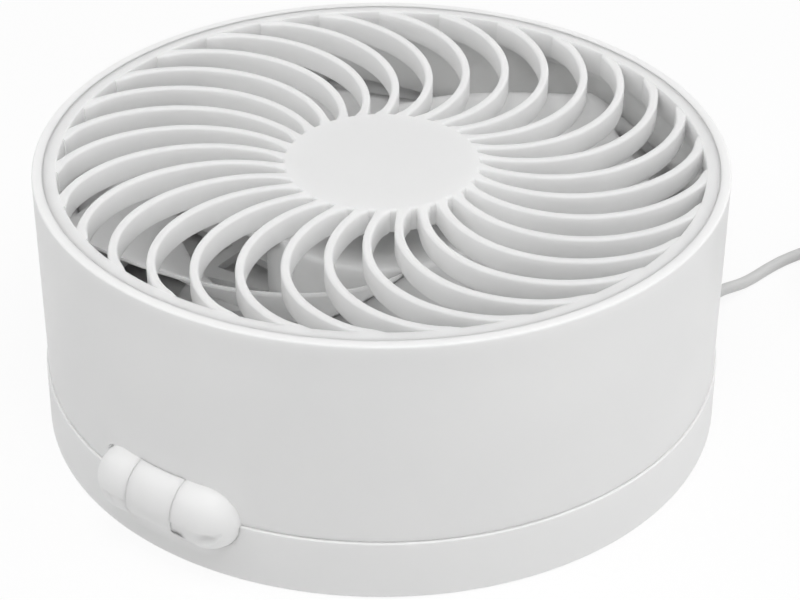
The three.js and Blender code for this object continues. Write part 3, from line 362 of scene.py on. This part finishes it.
# Cord tie: a narrow dark strap, looped once round the turns.
tie_cloth = grained(
    "dark_woven_strap", (0.02, 0.02, 0.022), (0.04, 0.04, 0.042), 0.85, 700, 0.9, sheen=0.3
)
TIE_AT, TIE_EASE = 265, 0.4
tie_x, tie_y = polar(COIL_MEAN, TIE_AT)
tie_turn = Matrix.Rotation(math.radians(TIE_AT), 4, "Z")
tie_place = Matrix.Translation(Vector((COIL_X + tie_x, COIL_Y + tie_y, 0)) * MM) @ tie_turn
half = COIL_SWING + LEAD / 2 + TIE_EASE
low = FLOOR_GAP + STRAP
high = COIL_LOW + (COIL_LAYERS - 1) * TURN_PITCH + LEAD / 2 + TIE_EASE
tie_section = [
    (STRAP - 0.06, -2.6), (STRAP, -2.45), (STRAP, 2.45), (STRAP - 0.06, 2.6),
    (0.05, 2.6), (0, 2.45), (0, -2.45), (0.05, -2.6),
]
tie_rings = []
for grow, y in tie_section:
    outline = rounded_plate(2 * (half + grow), high - low + 2 * grow, 1.2 + grow)
    tie_rings.append([tie_place @ (Vector((x, y, z + (low + high) / 2)) * MM) for x, z in outline])
tie = rings_piece("cord_tie_fine", tie_rings, tie_cloth, closed=True)
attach(tie, "base")
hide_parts("cord_tie")

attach(cord, "base")
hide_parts("supply_cord", "cord_coil", "cord_tail")


# ---- Strain relief ------------------------------------------------------------------------
# A soft tapered nose, turned about the lead's way out of the wall, with three grip grooves.


def lathe(name, profile, material, sides=240, angle=32):
    """A closed profile of (radius, height) in mm turned about Z."""
    verts, rows = [], []
    for radius, height in profile:
        if radius < 1e-6:
            rows.append([len(verts)] * sides)
            verts.append(Vector((0, 0, height)) * MM)
            continue
        rows.append(list(range(len(verts), len(verts) + sides)))
        for i in range(sides):
            x, y = polar(radius, 360 * i / sides)
            verts.append(Vector((x, y, height)) * MM)
    faces = []
    for a, b in zip(rows, rows[1:] + rows[:1]):
        for i in range(sides):
            j = (i + 1) % sides
            face = list(dict.fromkeys((a[i], a[j], b[j], b[i])))
            if len(face) > 2:
                faces.append(face)
    return mesh_piece(name, verts, faces, material, angle)


def softened(profile, radius, steps=4):
    """The profile with each corner turned into an arc; a point may carry its own radius."""
    points = [(Vector(p[:2]), p[2] if len(p) > 2 else radius) for p in profile]
    made = []
    for i, (corner, own) in enumerate(points):
        before, after = points[i - 1][0], points[(i + 1) % len(points)][0]
        if own <= 0 or corner.x < 1e-6:
            made.append(tuple(corner))
            continue
        a, b = before - corner, after - corner
        reach = min(own, 0.45 * a.length, 0.45 * b.length)
        start, end = corner + a.normalized() * reach, corner + b.normalized() * reach
        for k in range(steps + 1):
            t = k / steps
            made.append(tuple(start * (1 - t) ** 2 + corner * (2 * t * (1 - t)) + end * t ** 2))
    return made


relief_profile = [(0, -6, 0), (2.4, -6, 0), (2.4, 2.2, 0), (3.3, 2.2, 0.35), (3.25, 4.2, 0.2)]
for groove in range(3):
    s = 5 + 2.2 * groove
    r = 3.2 - 0.1 * (s - 4)
    relief_profile += [
        (r, s, 0.15), (r - 0.35, s + 0.25, 0.15),
        (r - 0.4, s + 1, 0.15), (r - 0.12, s + 1.25, 0.15),
    ]
relief_profile += [
    (2.45, 12.4, 0.3), (2.25, 12.95, 0.2), (1.8, 12.95, 0.1), (1.8, 11.8, 0), (0, 11.8, 0),
]
relief = lathe("strain_relief_fine", softened(relief_profile, 0.2, 3), sheath, 64)
EXIT_AT, EXIT_HEIGHT, EXIT_AIM = 54.8, 5, 82.6
exit_x, exit_y = polar(93, EXIT_AT)
exit_place = (
    Matrix.Translation(Vector((exit_x, exit_y, EXIT_HEIGHT)) * MM)
    @ Matrix.Rotation(math.radians(EXIT_AIM), 4, "Z")
    @ Matrix.Rotation(math.radians(90), 4, "Y")
)
relief.data.transform(exit_place)
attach(relief, "base")
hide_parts("strain_relief")


# ---- Drum ---------------------------------------------------------------------------------
# One white moulding: the round wall with its crisp rim, the ledge the grille clips under, the
# flange below, and two dome-ended hinge knuckles, each with a shallow scoop low on its front.

HINGE_Y, HINGE_Z, KNUCKLE, DOME_X = -90.2, 17.5, 9.2, 13.1
SEAM_LEFT, SEAM_RIGHT, WASHER, HOLLOW = 7.96, 6.82, 6.3, 9
white = grained("satin_white_moulding", (0.885, 0.887, 0.885), (0.91, 0.91, 0.905), 0.42, glow=1.5)


def hinge_turned(name, profile, material, sides=96):
    """A profile of (radius, x) turned about the hinge axis."""
    piece = lathe(name, profile, material, sides)
    hinge = Matrix.Translation(Vector((0, HINGE_Y, HINGE_Z)) * MM)
    piece.data.transform(hinge @ Matrix.Rotation(math.radians(90), 4, "Y"))
    return piece


def dome(radius, start, edge, side, steps=18):
    """Profile of a dome-ended bar from x = start, where its edge is rounded, out to its pole."""
    profile = [(0, start), (radius - edge, start)]
    for i in range(1, 5):
        dx, dr = polar(edge, 22.5 * i)
        profile.append((radius - edge + dr, start + edge - dx))
    for i in range(steps + 1):
        dx, dr = polar(radius, 90 - 90 * i / steps)
        profile.append((max(dr, 0), DOME_X + dx))
    return [(r, side * x) for r, x in profile]


def pill(radius):
    """Profile of a bar with a dome at each end."""
    return dome(radius, 0, 0, -1)[:0:-1] + dome(radius, 0, 0, 1)[1:]


wall_profile = softened([
    (84, 17.56, 0.3), (92.7, 17.56, 0.2), (93, 76, 0.6), (90.17, 76, 0.06), (90.17, 68.2, 0),
    (88.25, 68.2, 0.3), (88.25, 66.2, 0.3), (90.6, 66.2, 0), (90.6, 20.1, 0.6), (84, 20.1, 0.3),
], 0.3, 5)
drum = lathe("drum_shell_fine", wall_profile, white, 288)


def pill_radius(x, radius=KNUCKLE):
    """Radius of the round-ended hinge bar at x along its axis."""
    return math.sqrt(max(radius ** 2 - max(0, abs(x) - DOME_X) ** 2, 0.01))


SCOOP_FROM, SCOOP_TO, SCOOP_ROUND, SCOOP_ARC = 6.6, 20.6, 15.5, 33
LIP, BOWL, BOWL_X, BOWL_SPREAD = 0.4, 2, 16.2, 2.8


def scooped_recess(side):
    """Cutter for the scoop: a crisp lip level with the seam, a bowl under it, run out below."""
    rings = []
    for i in range(46):
        x = SCOOP_FROM + (SCOOP_TO - SCOOP_FROM) * i / 45
        radius = pill_radius(x)
        first = 180 + math.degrees(math.asin(0.05 / radius))
        share = 1 if x < SCOOP_ROUND else math.sqrt(1 - ((x - SCOOP_ROUND) / 5.3) ** 2)
        last = first + SCOOP_ARC * share
        lip = LIP * min(1, max(0, (SCOOP_TO - x) / 1.2))
        bowl = BOWL * math.exp(-((x - BOWL_X) / BOWL_SPREAD) ** 2)
        inner, outer = [], []
        for k in range(25):
            t = k / 24
            depth = lip * (1 - t) ** 2 + bowl * math.sin(math.pi * t ** 1.3) - 0.05 * t
            for row, r in ((inner, radius - depth), (outer, radius + 0.8)):
                y, z = polar(r, first + (last - first) * t)
                row.append(Vector((side * x, HINGE_Y + y, HINGE_Z + z)) * MM)
        rings.append(inner + outer[::-1])
    return rings_piece("recess", rings, white)


hollow = [(0, -SEAM_LEFT), (HOLLOW, -SEAM_LEFT), (HOLLOW, SEAM_RIGHT), (0, SEAM_RIGHT)]
with_boolean(drum, [hinge_turned("hollow", hollow, white)], "DIFFERENCE")
for side, start in ((-1, SEAM_LEFT + 0.01), (1, SEAM_RIGHT)):
    profile = dome(KNUCKLE, start, 0.1, side)
    if side > 0:
        profile = [(0, 8.1), (WASHER, 8.1), (WASHER, SEAM_RIGHT)] + profile[1:]
    knuckle = hinge_turned("knuckle", profile, white)
    with_boolean(knuckle, [scooped_recess(side)], "DIFFERENCE")
    bevelled(knuckle, 0.1, 2, 50)
    with_boolean(drum, [knuckle], "UNION")
# A short slit over the left dome.
slit = [
    (-21.9, -90.35, 21.9, 0.1), (-21.15, -90.55, 22.9, 0.5), (-20.4, -90.75, 23.7, 0.6),
    (-19.6, -90.95, 24.4, 0.5), (-18.3, -91.25, 25.5, 0.1),
]
slit_rings = []
for x, y, z, reach in slit:
    away = Vector((x + DOME_X, 0, z - HINGE_Z)).normalized()
    ring = []
    for k in range(10):
        across, deep = polar(reach, 36 * k)
        ring.append((Vector((x, y, z)) + away * across + Vector((0, deep * 3, 0))) * MM)
    slit_rings.append(ring)
with_boolean(drum, [rings_piece("slit", slit_rings, white)], "DIFFERENCE")
smooth(drum, 30)
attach(drum, "drum")
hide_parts("drum_shell")


# ---- Front grille -------------------------------------------------------------------------
# One white moulding, clipped into the drum: 30 upright ribs that follow one 37 mm arc, a thin
# ring round them, and a plain disc in the middle, towards which the ribs sink 1.9 mm. Like the
# blades, it is thin enough to let some light through.

RIBS, RIB_TOP, RIB_DISH, RIB_ARC = 30, 75.85, 1.9, 37.25
RIB_HALF, RIB_DEPTH, RIB_EDGE = 1.15, 6.7, 0.75
DISC, RING_IN, RING_OUT, RING_LOW, RIM = 26.5, 86.5, 90.15, 68.5, 76
FLARE, FLARE_REACH = 0.7, 1.4
thin_white = grained(
    "thin_white_moulding", (0.885, 0.887, 0.885), (0.91, 0.91, 0.905), 0.42, glow=6
)


def rib_height(radius):
    share = min(1, max(0, (radius - DISC) / (RING_IN - DISC)))
    return RIB_TOP - RIB_DISH * (1 - share ** 3)


rib_start = Vector(polar(DISC - 1.15, -16.5))
rib_end = Vector(polar(RING_IN + 1.15, 6.5))
chord = rib_end - rib_start
rise = math.sqrt(RIB_ARC ** 2 - chord.length_squared / 4)
arc_centre = (rib_start + rib_end) / 2 + Vector((-chord.y, chord.x)).normalized() * rise
arc_from = math.atan2(rib_start.y - arc_centre.y, rib_start.x - arc_centre.x)
arc_to = math.atan2(rib_end.y - arc_centre.y, rib_end.x - arc_centre.x)
rib_rings = []
for i in range(61):
    angle = arc_from + (arc_to - arc_from) * i / 60
    out = Vector((math.cos(angle), math.sin(angle)))
    middle = arc_centre + out * RIB_ARC
    top = rib_height(middle.length) - (0.03 if middle.length < DISC + 0.5 else 0)
    near = min(middle.length - DISC, RING_IN - middle.length)
    half = RIB_HALF + FLARE * math.exp(-max(near, 0) / FLARE_REACH)
    foot = top - RIB_DEPTH
    section = [(0.3 - half, foot), (0.05 - half, foot + 0.1), (-half, foot + 0.35)]
    for k in range(7):
        dx, dz = polar(RIB_EDGE, 180 - 15 * k)
        section.append((RIB_EDGE - half + dx, top - RIB_EDGE + dz))
    section += [(-x, z) for x, z in reversed(section)]
    rib_rings.append([Vector((*(middle + out * across), z)) * MM for across, z in section])
rib = rings_piece("rib", rib_rings, thin_white, angle=40)


def round_pattern(name, unit, count, material):
    """count copies of a unit mesh, set evenly round Z."""
    tree = bpy.data.node_groups.new(name + "_pattern", "GeometryNodeTree")
    tree.interface.new_socket("Geometry", in_out="INPUT", socket_type="NodeSocketGeometry")
    tree.interface.new_socket("Count", in_out="INPUT", socket_type="NodeSocketInt")
    tree.interface.new_socket("Unit", in_out="INPUT", socket_type="NodeSocketObject")
    tree.interface.new_socket("Material", in_out="INPUT", socket_type="NodeSocketMaterial")
    tree.interface.new_socket("Geometry", in_out="OUTPUT", socket_type="NodeSocketGeometry")
    start, end = tree.nodes.new("NodeGroupInput"), tree.nodes.new("NodeGroupOutput")
    line = tree.nodes.new("GeometryNodeMeshLine")
    line.inputs["Offset"].default_value = (0, 0, 0)
    source = tree.nodes.new("GeometryNodeObjectInfo")
    index = tree.nodes.new("GeometryNodeInputIndex")
    step = tree.nodes.new("ShaderNodeMath")
    step.operation = "DIVIDE"
    step.inputs[0].default_value = 2 * math.pi
    angle = tree.nodes.new("ShaderNodeMath")
    angle.operation = "MULTIPLY"
    axis = tree.nodes.new("ShaderNodeCombineXYZ")
    place = tree.nodes.new("GeometryNodeInstanceOnPoints")
    real = tree.nodes.new("GeometryNodeRealizeInstances")
    paint = tree.nodes.new("GeometryNodeSetMaterial")
    join = tree.links.new
    join(start.outputs["Count"], line.inputs["Count"])
    join(start.outputs["Count"], step.inputs[1])
    join(index.outputs["Index"], angle.inputs[0])
    join(step.outputs["Value"], angle.inputs[1])
    join(angle.outputs["Value"], axis.inputs["Z"])
    join(start.outputs["Unit"], source.inputs["Object"])
    join(line.outputs["Mesh"], place.inputs["Points"])
    join(source.outputs["Geometry"], place.inputs["Instance"])
    join(axis.outputs["Vector"], place.inputs["Rotation"])
    join(place.outputs["Instances"], real.inputs["Geometry"])
    join(real.outputs["Geometry"], paint.inputs["Geometry"])
    join(start.outputs["Material"], paint.inputs["Material"])
    join(paint.outputs["Geometry"], end.inputs["Geometry"])
    piece = bpy.data.objects.new(name, bpy.data.meshes.new(name))
    bpy.context.scene.collection.objects.link(piece)
    step = piece.modifiers.new("pattern", "NODES")
    step.node_group = tree
    sockets = {s.name: s.identifier for s in tree.interface.items_tree if s.in_out == "INPUT"}
    step[sockets["Count"]] = count
    step[sockets["Unit"]] = unit
    step[sockets["Material"]] = material
    bake(piece)
    bpy.data.objects.remove(unit)
    return piece


def joined(target, others):
    """The others' meshes added to the target's."""
    work = bmesh.new()
    work.from_mesh(target.data)
    for other in others:
        work.from_mesh(other.data)
    work.to_mesh(target.data)
    work.free()
    for other in others:
        bpy.data.objects.remove(other)
    return target


grille = round_pattern("front_grille_fine", rib, RIBS, thin_white)
disc_top = rib_height(DISC)
DISC_WALL = 2.2
disc_low = disc_top - DISC_WALL
disc_profile = softened([
    (0, disc_low, 0), (DISC - DISC_WALL, disc_low, 0.4),
    (DISC - DISC_WALL, disc_top - RIB_DEPTH, 0.3),
    (DISC, disc_top - RIB_DEPTH, 0.3), (DISC, disc_top, 0.9), (0, disc_top, 0),
], 0.3, 6)
ring_profile = softened([
    (RING_IN, RING_LOW, 0.3), (RING_OUT, RING_LOW, 0.3), (RING_OUT, RIM, 0.06), (RING_IN, RIM, 0.4),
], 0.3, 5)
disc = lathe("disc", disc_profile, thin_white, 240)
ring = lathe("ring", ring_profile, thin_white, 288)
with_boolean(grille, [disc, ring], "UNION")
HOOKS, HOOK_IN, HOOK_OUT, HOOK_HALF = 6, 86.45, 87.95, 4
hook_outline = [
    (HOOK_IN, 64.4), (HOOK_OUT + 0.8, 64.4), (HOOK_OUT + 1.3, 65.3), (HOOK_OUT + 1.3, 65.9),
    (HOOK_OUT, 65.9), (HOOK_OUT, 69.2), (HOOK_IN, 69.2),
]
for i in range(HOOKS):
    angle = Matrix.Rotation(math.radians(36 + 360 * i / HOOKS), 4, "Z")
    rings = []
    for y in (-HOOK_HALF, HOOK_HALF):
        rings.append([angle @ (Vector((r, y, z)) * MM) for r, z in hook_outline])
    with_boolean(grille, [rings_piece("hook", rings, thin_white)], "UNION")
smooth(grille, 38)
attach(grille, "drum")
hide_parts("front_grille")


# ---- Impeller -----------------------------------------------------------------------------
# One white moulding on the rotor: a hub cap and five wide blades whose top edges sweep back from
# the hub to the tip, and whose faces fall away below them.

BLADES, BLADE_FROM, BLADE_TIP, BLADE_SWEEP, BLADE_CHORD, BLADE_TURN = 5, 30.4, 88, 106, 62, 10.2
SWEEP_FROM, BLADE_HEIGHT, BLADE_ROOT_TOP = 24.9, 22, 57.5
HUB, HUB_LOW, HUB_TOP, HUB_WALL = 31.5, 36, 59, 2.2
blade_rings = []
for i in range(33):
    radius = BLADE_FROM + (BLADE_TIP - BLADE_FROM) * i / 32
    share = (radius - SWEEP_FROM) / (BLADE_TIP - SWEEP_FROM)
    sweep = BLADE_SWEEP * (1 - share) ** 1.4
    top = BLADE_ROOT_TOP + 4 * min(1, 1.6 * share)
    height = BLADE_HEIGHT * (1 - 0.15 * share)
    front, back = [], []
    for k in range(29):
        along = k / 28
        angle = BLADE_TURN + sweep - BLADE_CHORD * along
        z = top - height * (0.35 * along + 0.65 * math.sin(along * math.pi / 2) ** 1.2)
        thick = 1.6 - 0.8 * along
        x, y = polar(radius, angle)
        ease = 0.35 if k in (0, 28) else 0
        front.append(Vector((x, y, z - ease)) * MM)
        back.append(Vector((x, y, z - thick + ease)) * MM)
    blade_rings.append(front + back[::-1])
blade = rings_piece("blade", blade_rings, thin_white, angle=50)
impeller = round_pattern("impeller_fine", blade, BLADES, thin_white)
hub_profile = softened([
    (0, HUB_TOP - HUB_WALL, 0), (HUB - HUB_WALL, HUB_TOP - HUB_WALL, 0.8),
    (HUB - HUB_WALL, HUB_LOW, 0.3), (HUB, HUB_LOW, 0.3), (HUB, HUB_TOP, 1.6), (0, HUB_TOP, 0),
], 0.3, 6)
joined(impeller, [lathe("hub", hub_profile, thin_white, 192)])
smooth(impeller, 45)
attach(impeller, "rotor")
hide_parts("impeller")


# ---- Base shell ---------------------------------------------------------------------------
# One white moulding: a shallow tub with a rounded foot, pockets for the drum's two knuckles, and
# the middle knuckle, which runs down into the wall in a fairing that fades out to each side.

BASE, BASE_TOP, CUP, POCKET = 93.4, 17.43, 11.2, 9.26
tub_profile = softened([
    (0, 1.7, 0), (78.3, 1.7, 0), (78.3, 0.15, 0.2), (BASE, 0.15, 1), (BASE - 0.05, BASE_TOP, 0.4),
    (90.6, BASE_TOP, 0.2), (90.6, 15, 0), (89, 15, 0.3), (89, 3.2, 0.6), (0, 3.2, 0),
], 0.3, 8)
base = lathe("base_shell_fine", tub_profile, white, 288)
cup = hinge_turned("cup", pill(CUP), white)
trim = lathe("trim", [(0, 2.2), (92.8, 2.2), (92.8, BASE_TOP), (0, BASE_TOP)], white, 288)
with_boolean(cup, [trim], "INTERSECT")
with_boolean(base, [cup], "UNION")

FAIRING_HALF, FAIRING_LOW, FAIRING_FULL, FAIRING_FADE = 18, 3.6, 10.5, 7
MEET, CREST = 207, 206
# Right of the middle knuckle, the fairing's lip stands a hair prouder and ends lower.
fair_rings = []
for i in range(73):
    x = FAIRING_HALF * (2 * i / 72 - 1)
    beside = min(1, max(0, (x + 0.575 - 6.2) / 1.6))
    lip = 0.1 * beside * beside * (3 - 2 * beside) - 0.02
    fade = (1 + math.cos(math.pi * min(1, max(0, (abs(x) - FAIRING_FULL) / FAIRING_FADE)))) / 2
    radius = pill_radius(x, KNUCKLE + lip)
    top = CREST - 10 * beside
    wall_y = -math.sqrt(BASE ** 2 - x ** 2) + 0.15
    down_y, down_z = polar(radius, MEET)
    bulge, crest = HINGE_Y + down_y - wall_y, HINGE_Z + down_z
    front = []
    for k in range(17):
        t = k / 16
        y = wall_y + bulge * fade * t * t * (1.6 - 0.6 * t)
        front.append((x, y, FAIRING_LOW + (crest - FAIRING_LOW) * t))
    for k in range(1, 9):
        y, z = polar(radius, MEET + (top - MEET) * k / 8)
        front.append((x, wall_y + (HINGE_Y + y - wall_y) * fade, HINGE_Z + z))
    back = [(x, wall_y + 1.2, front[-1][2]), (x, wall_y + 1.2, FAIRING_LOW)]
    fair_rings.append([Vector(p) * MM for p in front + back])
fairing = rings_piece("fairing", fair_rings, white, angle=50)
with_boolean(base, [fairing], "UNION")

BUTTON_Z = 10.1


def pill_plate(width, height, y):
    """Outline of an upright plate with round ends, at y and at the button's height."""
    outline = rounded_plate(width, height, height / 2 - 0.001, 12)
    return [Vector((x, y, z + BUTTON_Z)) * MM for x, z in outline]


button_hole = rings_piece("button_hole", [pill_plate(10.6, 5.6, y) for y in (84, 96)], white)
bore = lathe("bore", [(0, -10.6), (2.7, -10.6), (2.7, 12), (0, 12)], white, 48)
bore.data.transform(exit_place)
with_boolean(base, [button_hole, bore], "DIFFERENCE")
bevelled(base, 0.12, 2, 50)
MIDDLE_LEFT, MIDDLE_RIGHT = -7.95, 6.8
for side, start in ((-1, -MIDDLE_LEFT), (1, MIDDLE_RIGHT)):
    pocket = hinge_turned("pocket", dome(POCKET, start, 0, side), white)
    with_boolean(base, [pocket], "DIFFERENCE")
knuckle = hinge_turned("middle", [
    (0, -7.1), (WASHER, -7.1), (WASHER, MIDDLE_LEFT), (9.06, MIDDLE_LEFT),
    (9.16, MIDDLE_LEFT + 0.04), (KNUCKLE, MIDDLE_LEFT + 0.14),
    (KNUCKLE, MIDDLE_RIGHT - 0.14), (9.16, MIDDLE_RIGHT - 0.04),
    (9.06, MIDDLE_RIGHT), (0, MIDDLE_RIGHT),
], white)
with_boolean(base, [knuckle], "UNION")
smooth(base, 30)
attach(base, "base")
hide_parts("base_shell")


# ---- Base lid and pad ---------------------------------------------------------------------
# The lid is a white disc set into the base's top, cut round for the hinge. The pad is a grey
# silicone disc let into the underside, with two shallow grip rings.

lid = lathe("base_lid_fine", softened([
    (0, 15.3, 0), (90.4, 15.3, 0.3), (90.4, 17.3, 0.3), (0, 17.3, 0),
], 0.3, 4), white, 288)
LID_CUT = 11.5
with_boolean(lid, [hinge_turned("lid_cut", pill(LID_CUT), white)], "DIFFERENCE")
smooth(lid)
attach(lid, "base")
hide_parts("base_lid")

silicone = grained("grey_silicone", (0.21, 0.212, 0.217), (0.25, 0.252, 0.257), 0.72, 1200, 0.5)
pad = lathe("anti_slip_pad_fine", softened([
    (0, 0, 0), (50, 0, 0.1), (50.3, 0.35, 0.1), (51.7, 0.35, 0.1), (52, 0, 0.1),
    (66, 0, 0.1), (66.3, 0.35, 0.1), (67.7, 0.35, 0.1), (68, 0, 0.1),
    (78, 0, 0.4), (78, 1.4, 0.2), (0, 1.4, 0),
], 0.1, 3), silicone, 192)
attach(pad, "base")
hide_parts("anti_slip_pad")


# ---- Rear grille --------------------------------------------------------------------------
# A white slotted disc screwed into the drum's flange. Two rows of slots let the air in, and the
# solid middle carries the motor.

rear = lathe("rear_grille_fine", softened([
    (0, 20.5, 0), (90.3, 20.5, 0.3), (90.3, 22.9, 0.3), (0, 22.9, 0),
], 0.3, 3), white, 240)
SLOTS, SLOT_HALF, SLOT_ROWS, REAR_CUT = 20, 5.94, ((33, 55), (59, 81)), 9.5
for row, (low, high) in enumerate(SLOT_ROWS):
    outline = []
    for radius, step in ((low, 1), (high, -1)):
        for k in range(9):
            outline.append(polar(radius, step * SLOT_HALF * (k / 4 - 1)))
    rings = [[Vector((x, y, z)) * MM for x, y in outline] for z in (19, 24)]
    slot = rings_piece("slot", rings, white)
    cutters = round_pattern(f"slots_{row}", slot, SLOTS, white)
    if row == 1:
        # The outer row has no slot at the hinge.
        work = bmesh.new()
        work.from_mesh(cutters.data)
        gone = [v for v in work.verts
                if v.co.y < 0 and abs(math.atan2(v.co.x, -v.co.y)) < math.radians(8)]
        bmesh.ops.delete(work, geom=gone, context="VERTS")
        work.to_mesh(cutters.data)
        work.free()
    with_boolean(rear, [cutters], "DIFFERENCE")
with_boolean(rear, [hinge_turned("rear_cut", pill(REAR_CUT), white)], "DIFFERENCE")
smooth(rear)
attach(rear, "drum")
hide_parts("rear_grille")


# ---- Push button --------------------------------------------------------------------------
# A white pill-shaped button in the base's back wall, with a softly rounded edge and a faint dish.

BUTTON_WIDTH, BUTTON_HEIGHT = 10, 5
button_section = [
    (81.8, 0), (93.6, 0), (93.95, 0.08), (94.14, 0.28), (94.2, 0.6), (94.12, 1.1), (94.08, 1.6),
]
button_rings = []
for y, shrink in button_section:
    button_rings.append(pill_plate(BUTTON_WIDTH - 2 * shrink, BUTTON_HEIGHT - 2 * shrink, y))
button = rings_piece("speed_button_fine", button_rings, white, angle=50)
flange = rings_piece("button_flange", [pill_plate(12.6, 7.6, y) for y in (81.7, 82.8)], white)
joined(button, [flange])
smooth(button, 50)
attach(button, "button")
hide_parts("speed_button")


# ---- Inner pieces -------------------------------------------------------------------------
# Motor, board, screws, pin and leads keep their CAD shapes. Each gets the finish of what it is:
# plated or ground steel, ferrite, copper wire, coated board, white plastic or soft sheath.

board = grained(
    "coated_circuit_board", (0.018, 0.10, 0.045), (0.03, 0.14, 0.07), 0.4, 800, 0.2, coat=0.4
)
copper = grained(
    "enamelled_copper", (0.50, 0.17, 0.06), (0.62, 0.24, 0.09), 0.32, 2200, 0.9, metal=0.9
)
ground = grained("ground_steel", (0.40, 0.41, 0.42), (0.5, 0.51, 0.52), 0.36, 1600, 0.25, metal=1.0)
ferrite = grained("dark_ferrite", (0.03, 0.03, 0.032), (0.05, 0.05, 0.052), 0.6, 900, 0.5)
finishes = {
    "control_board": board, "motor_board": board, "stator_windings": copper, "magnet_ring": ferrite,
    "switch_body": dark, "plug_tongue": dark, "motor_mount": white,
    "supply_lead": sheath, "base_lead": sheath, "head_lead": sheath,
    "ballast_plate": ground, "stator_core": ground, "rotor_cup": ground,
}
for name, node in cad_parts.items():
    node.data.materials.clear()
    node.data.materials.append(finishes.get(name, steel))
    smooth(node, 30)


# ---- Floor and light ----------------------------------------------------------------------
# A pale floor that runs off to white and throws much light back up, a dim even surround, and six
# soft boxes: the strongest over the fan, three round its front, and two low, beside and behind it.

def directly_seen(tree):
    """1 for what the camera sees by itself, in metal or through glass, 0 for light on its way."""
    path = tree.nodes.new("ShaderNodeLightPath")
    total = path.outputs["Is Camera Ray"]
    for name in ("Is Glossy Ray", "Is Transmission Ray"):
        step = tree.nodes.new("ShaderNodeMath")
        step.operation = "MAXIMUM"
        tree.links.new(total, step.inputs[0])
        tree.links.new(path.outputs[name], step.inputs[1])
        total = step.outputs["Value"]
    return total


floor_paint = bpy.data.materials.new("pale_floor")
floor_paint.use_nodes = True
tree = floor_paint.node_tree
bounce = tree.nodes["Principled BSDF"]
bounce.inputs["Base Color"].default_value = (0.45, 0.45, 0.45, 1)
bounce.inputs["Emission Color"].default_value = (1, 1, 1, 1)
bounce.inputs["Emission Strength"].default_value = 0.3
bounce.inputs["Roughness"].default_value = 0.9
paint = tree.nodes.new("ShaderNodeBsdfDiffuse")
paint.inputs["Color"].default_value = (0.97, 0.97, 0.97, 1)
plain = tree.nodes.new("ShaderNodeEmission")
plain.inputs["Color"].default_value = (1, 1, 1, 1)
plain.inputs["Strength"].default_value = 1.0
shadowed = tree.nodes.new("ShaderNodeMixShader")
shadowed.inputs["Fac"].default_value = 0.87
mix = tree.nodes.new("ShaderNodeMixShader")
tree.links.new(paint.outputs["BSDF"], shadowed.inputs[1])
tree.links.new(plain.outputs["Emission"], shadowed.inputs[2])
tree.links.new(directly_seen(tree), mix.inputs["Fac"])
tree.links.new(bounce.outputs["BSDF"], mix.inputs[1])
tree.links.new(shadowed.outputs["Shader"], mix.inputs[2])
tree.links.new(mix.outputs["Shader"], tree.nodes["Material Output"].inputs["Surface"])
floor_mesh = bpy.data.meshes.new("floor")
floor_mesh.from_pydata([(-6, -6, 0), (6, -6, 0), (6, 6, 0), (-6, 6, 0)], [], [(0, 1, 2, 3)])
floor_mesh.materials.append(floor_paint)
floor = bpy.data.objects.new("floor", floor_mesh)
bpy.context.scene.collection.objects.link(floor)

world = bpy.data.worlds.new("surround")
bpy.context.scene.world = world
world.use_nodes = True
tree = world.node_tree
back = tree.nodes["Background"]
back.inputs["Color"].default_value = (1, 1, 1, 1)
back.inputs["Strength"].default_value = 0.23
seen = tree.nodes.new("ShaderNodeBackground")
seen.inputs["Color"].default_value = (1, 1, 1, 1)
seen.inputs["Strength"].default_value = 1.0
mix = tree.nodes.new("ShaderNodeMixShader")
tree.links.new(directly_seen(tree), mix.inputs["Fac"])
tree.links.new(back.outputs["Background"], mix.inputs[1])
tree.links.new(seen.outputs["Background"], mix.inputs[2])
tree.links.new(mix.outputs["Shader"], tree.nodes["World Output"].inputs["Surface"])


def soft_box(name, azimuth, elevation, power):
    """A square lamp 1.6 m away; azimuth 0 is the hinge side, and 90 the side that faces +X."""
    light = bpy.data.lights.new(name, "AREA")
    light.shape = "SQUARE"
    light.size = 1.0
    light.energy = power
    lamp = bpy.data.objects.new(name, light)
    bpy.context.scene.collection.objects.link(lamp)
    out, height = polar(1.6, elevation)
    x, y = polar(out, azimuth - 90)
    place = Vector((x, y, height + 0.03))
    aim = (Vector((0, 0, 0.04)) - place).to_track_quat("-Z", "Y")
    lamp.matrix_world = Matrix.Translation(place) @ aim.to_matrix().to_4x4()


soft_box("key", 36, 45, 3)
soft_box("left_fill", 306, 45, 6.2)
soft_box("right_fill", 126, 45, 6.3)
soft_box("right_low", 81, 15, 3.3)
soft_box("back_low", 171, 15, 2)
soft_box("over", 36, 75, 8.4)

bpy.context.scene.view_settings.view_transform = "Standard"
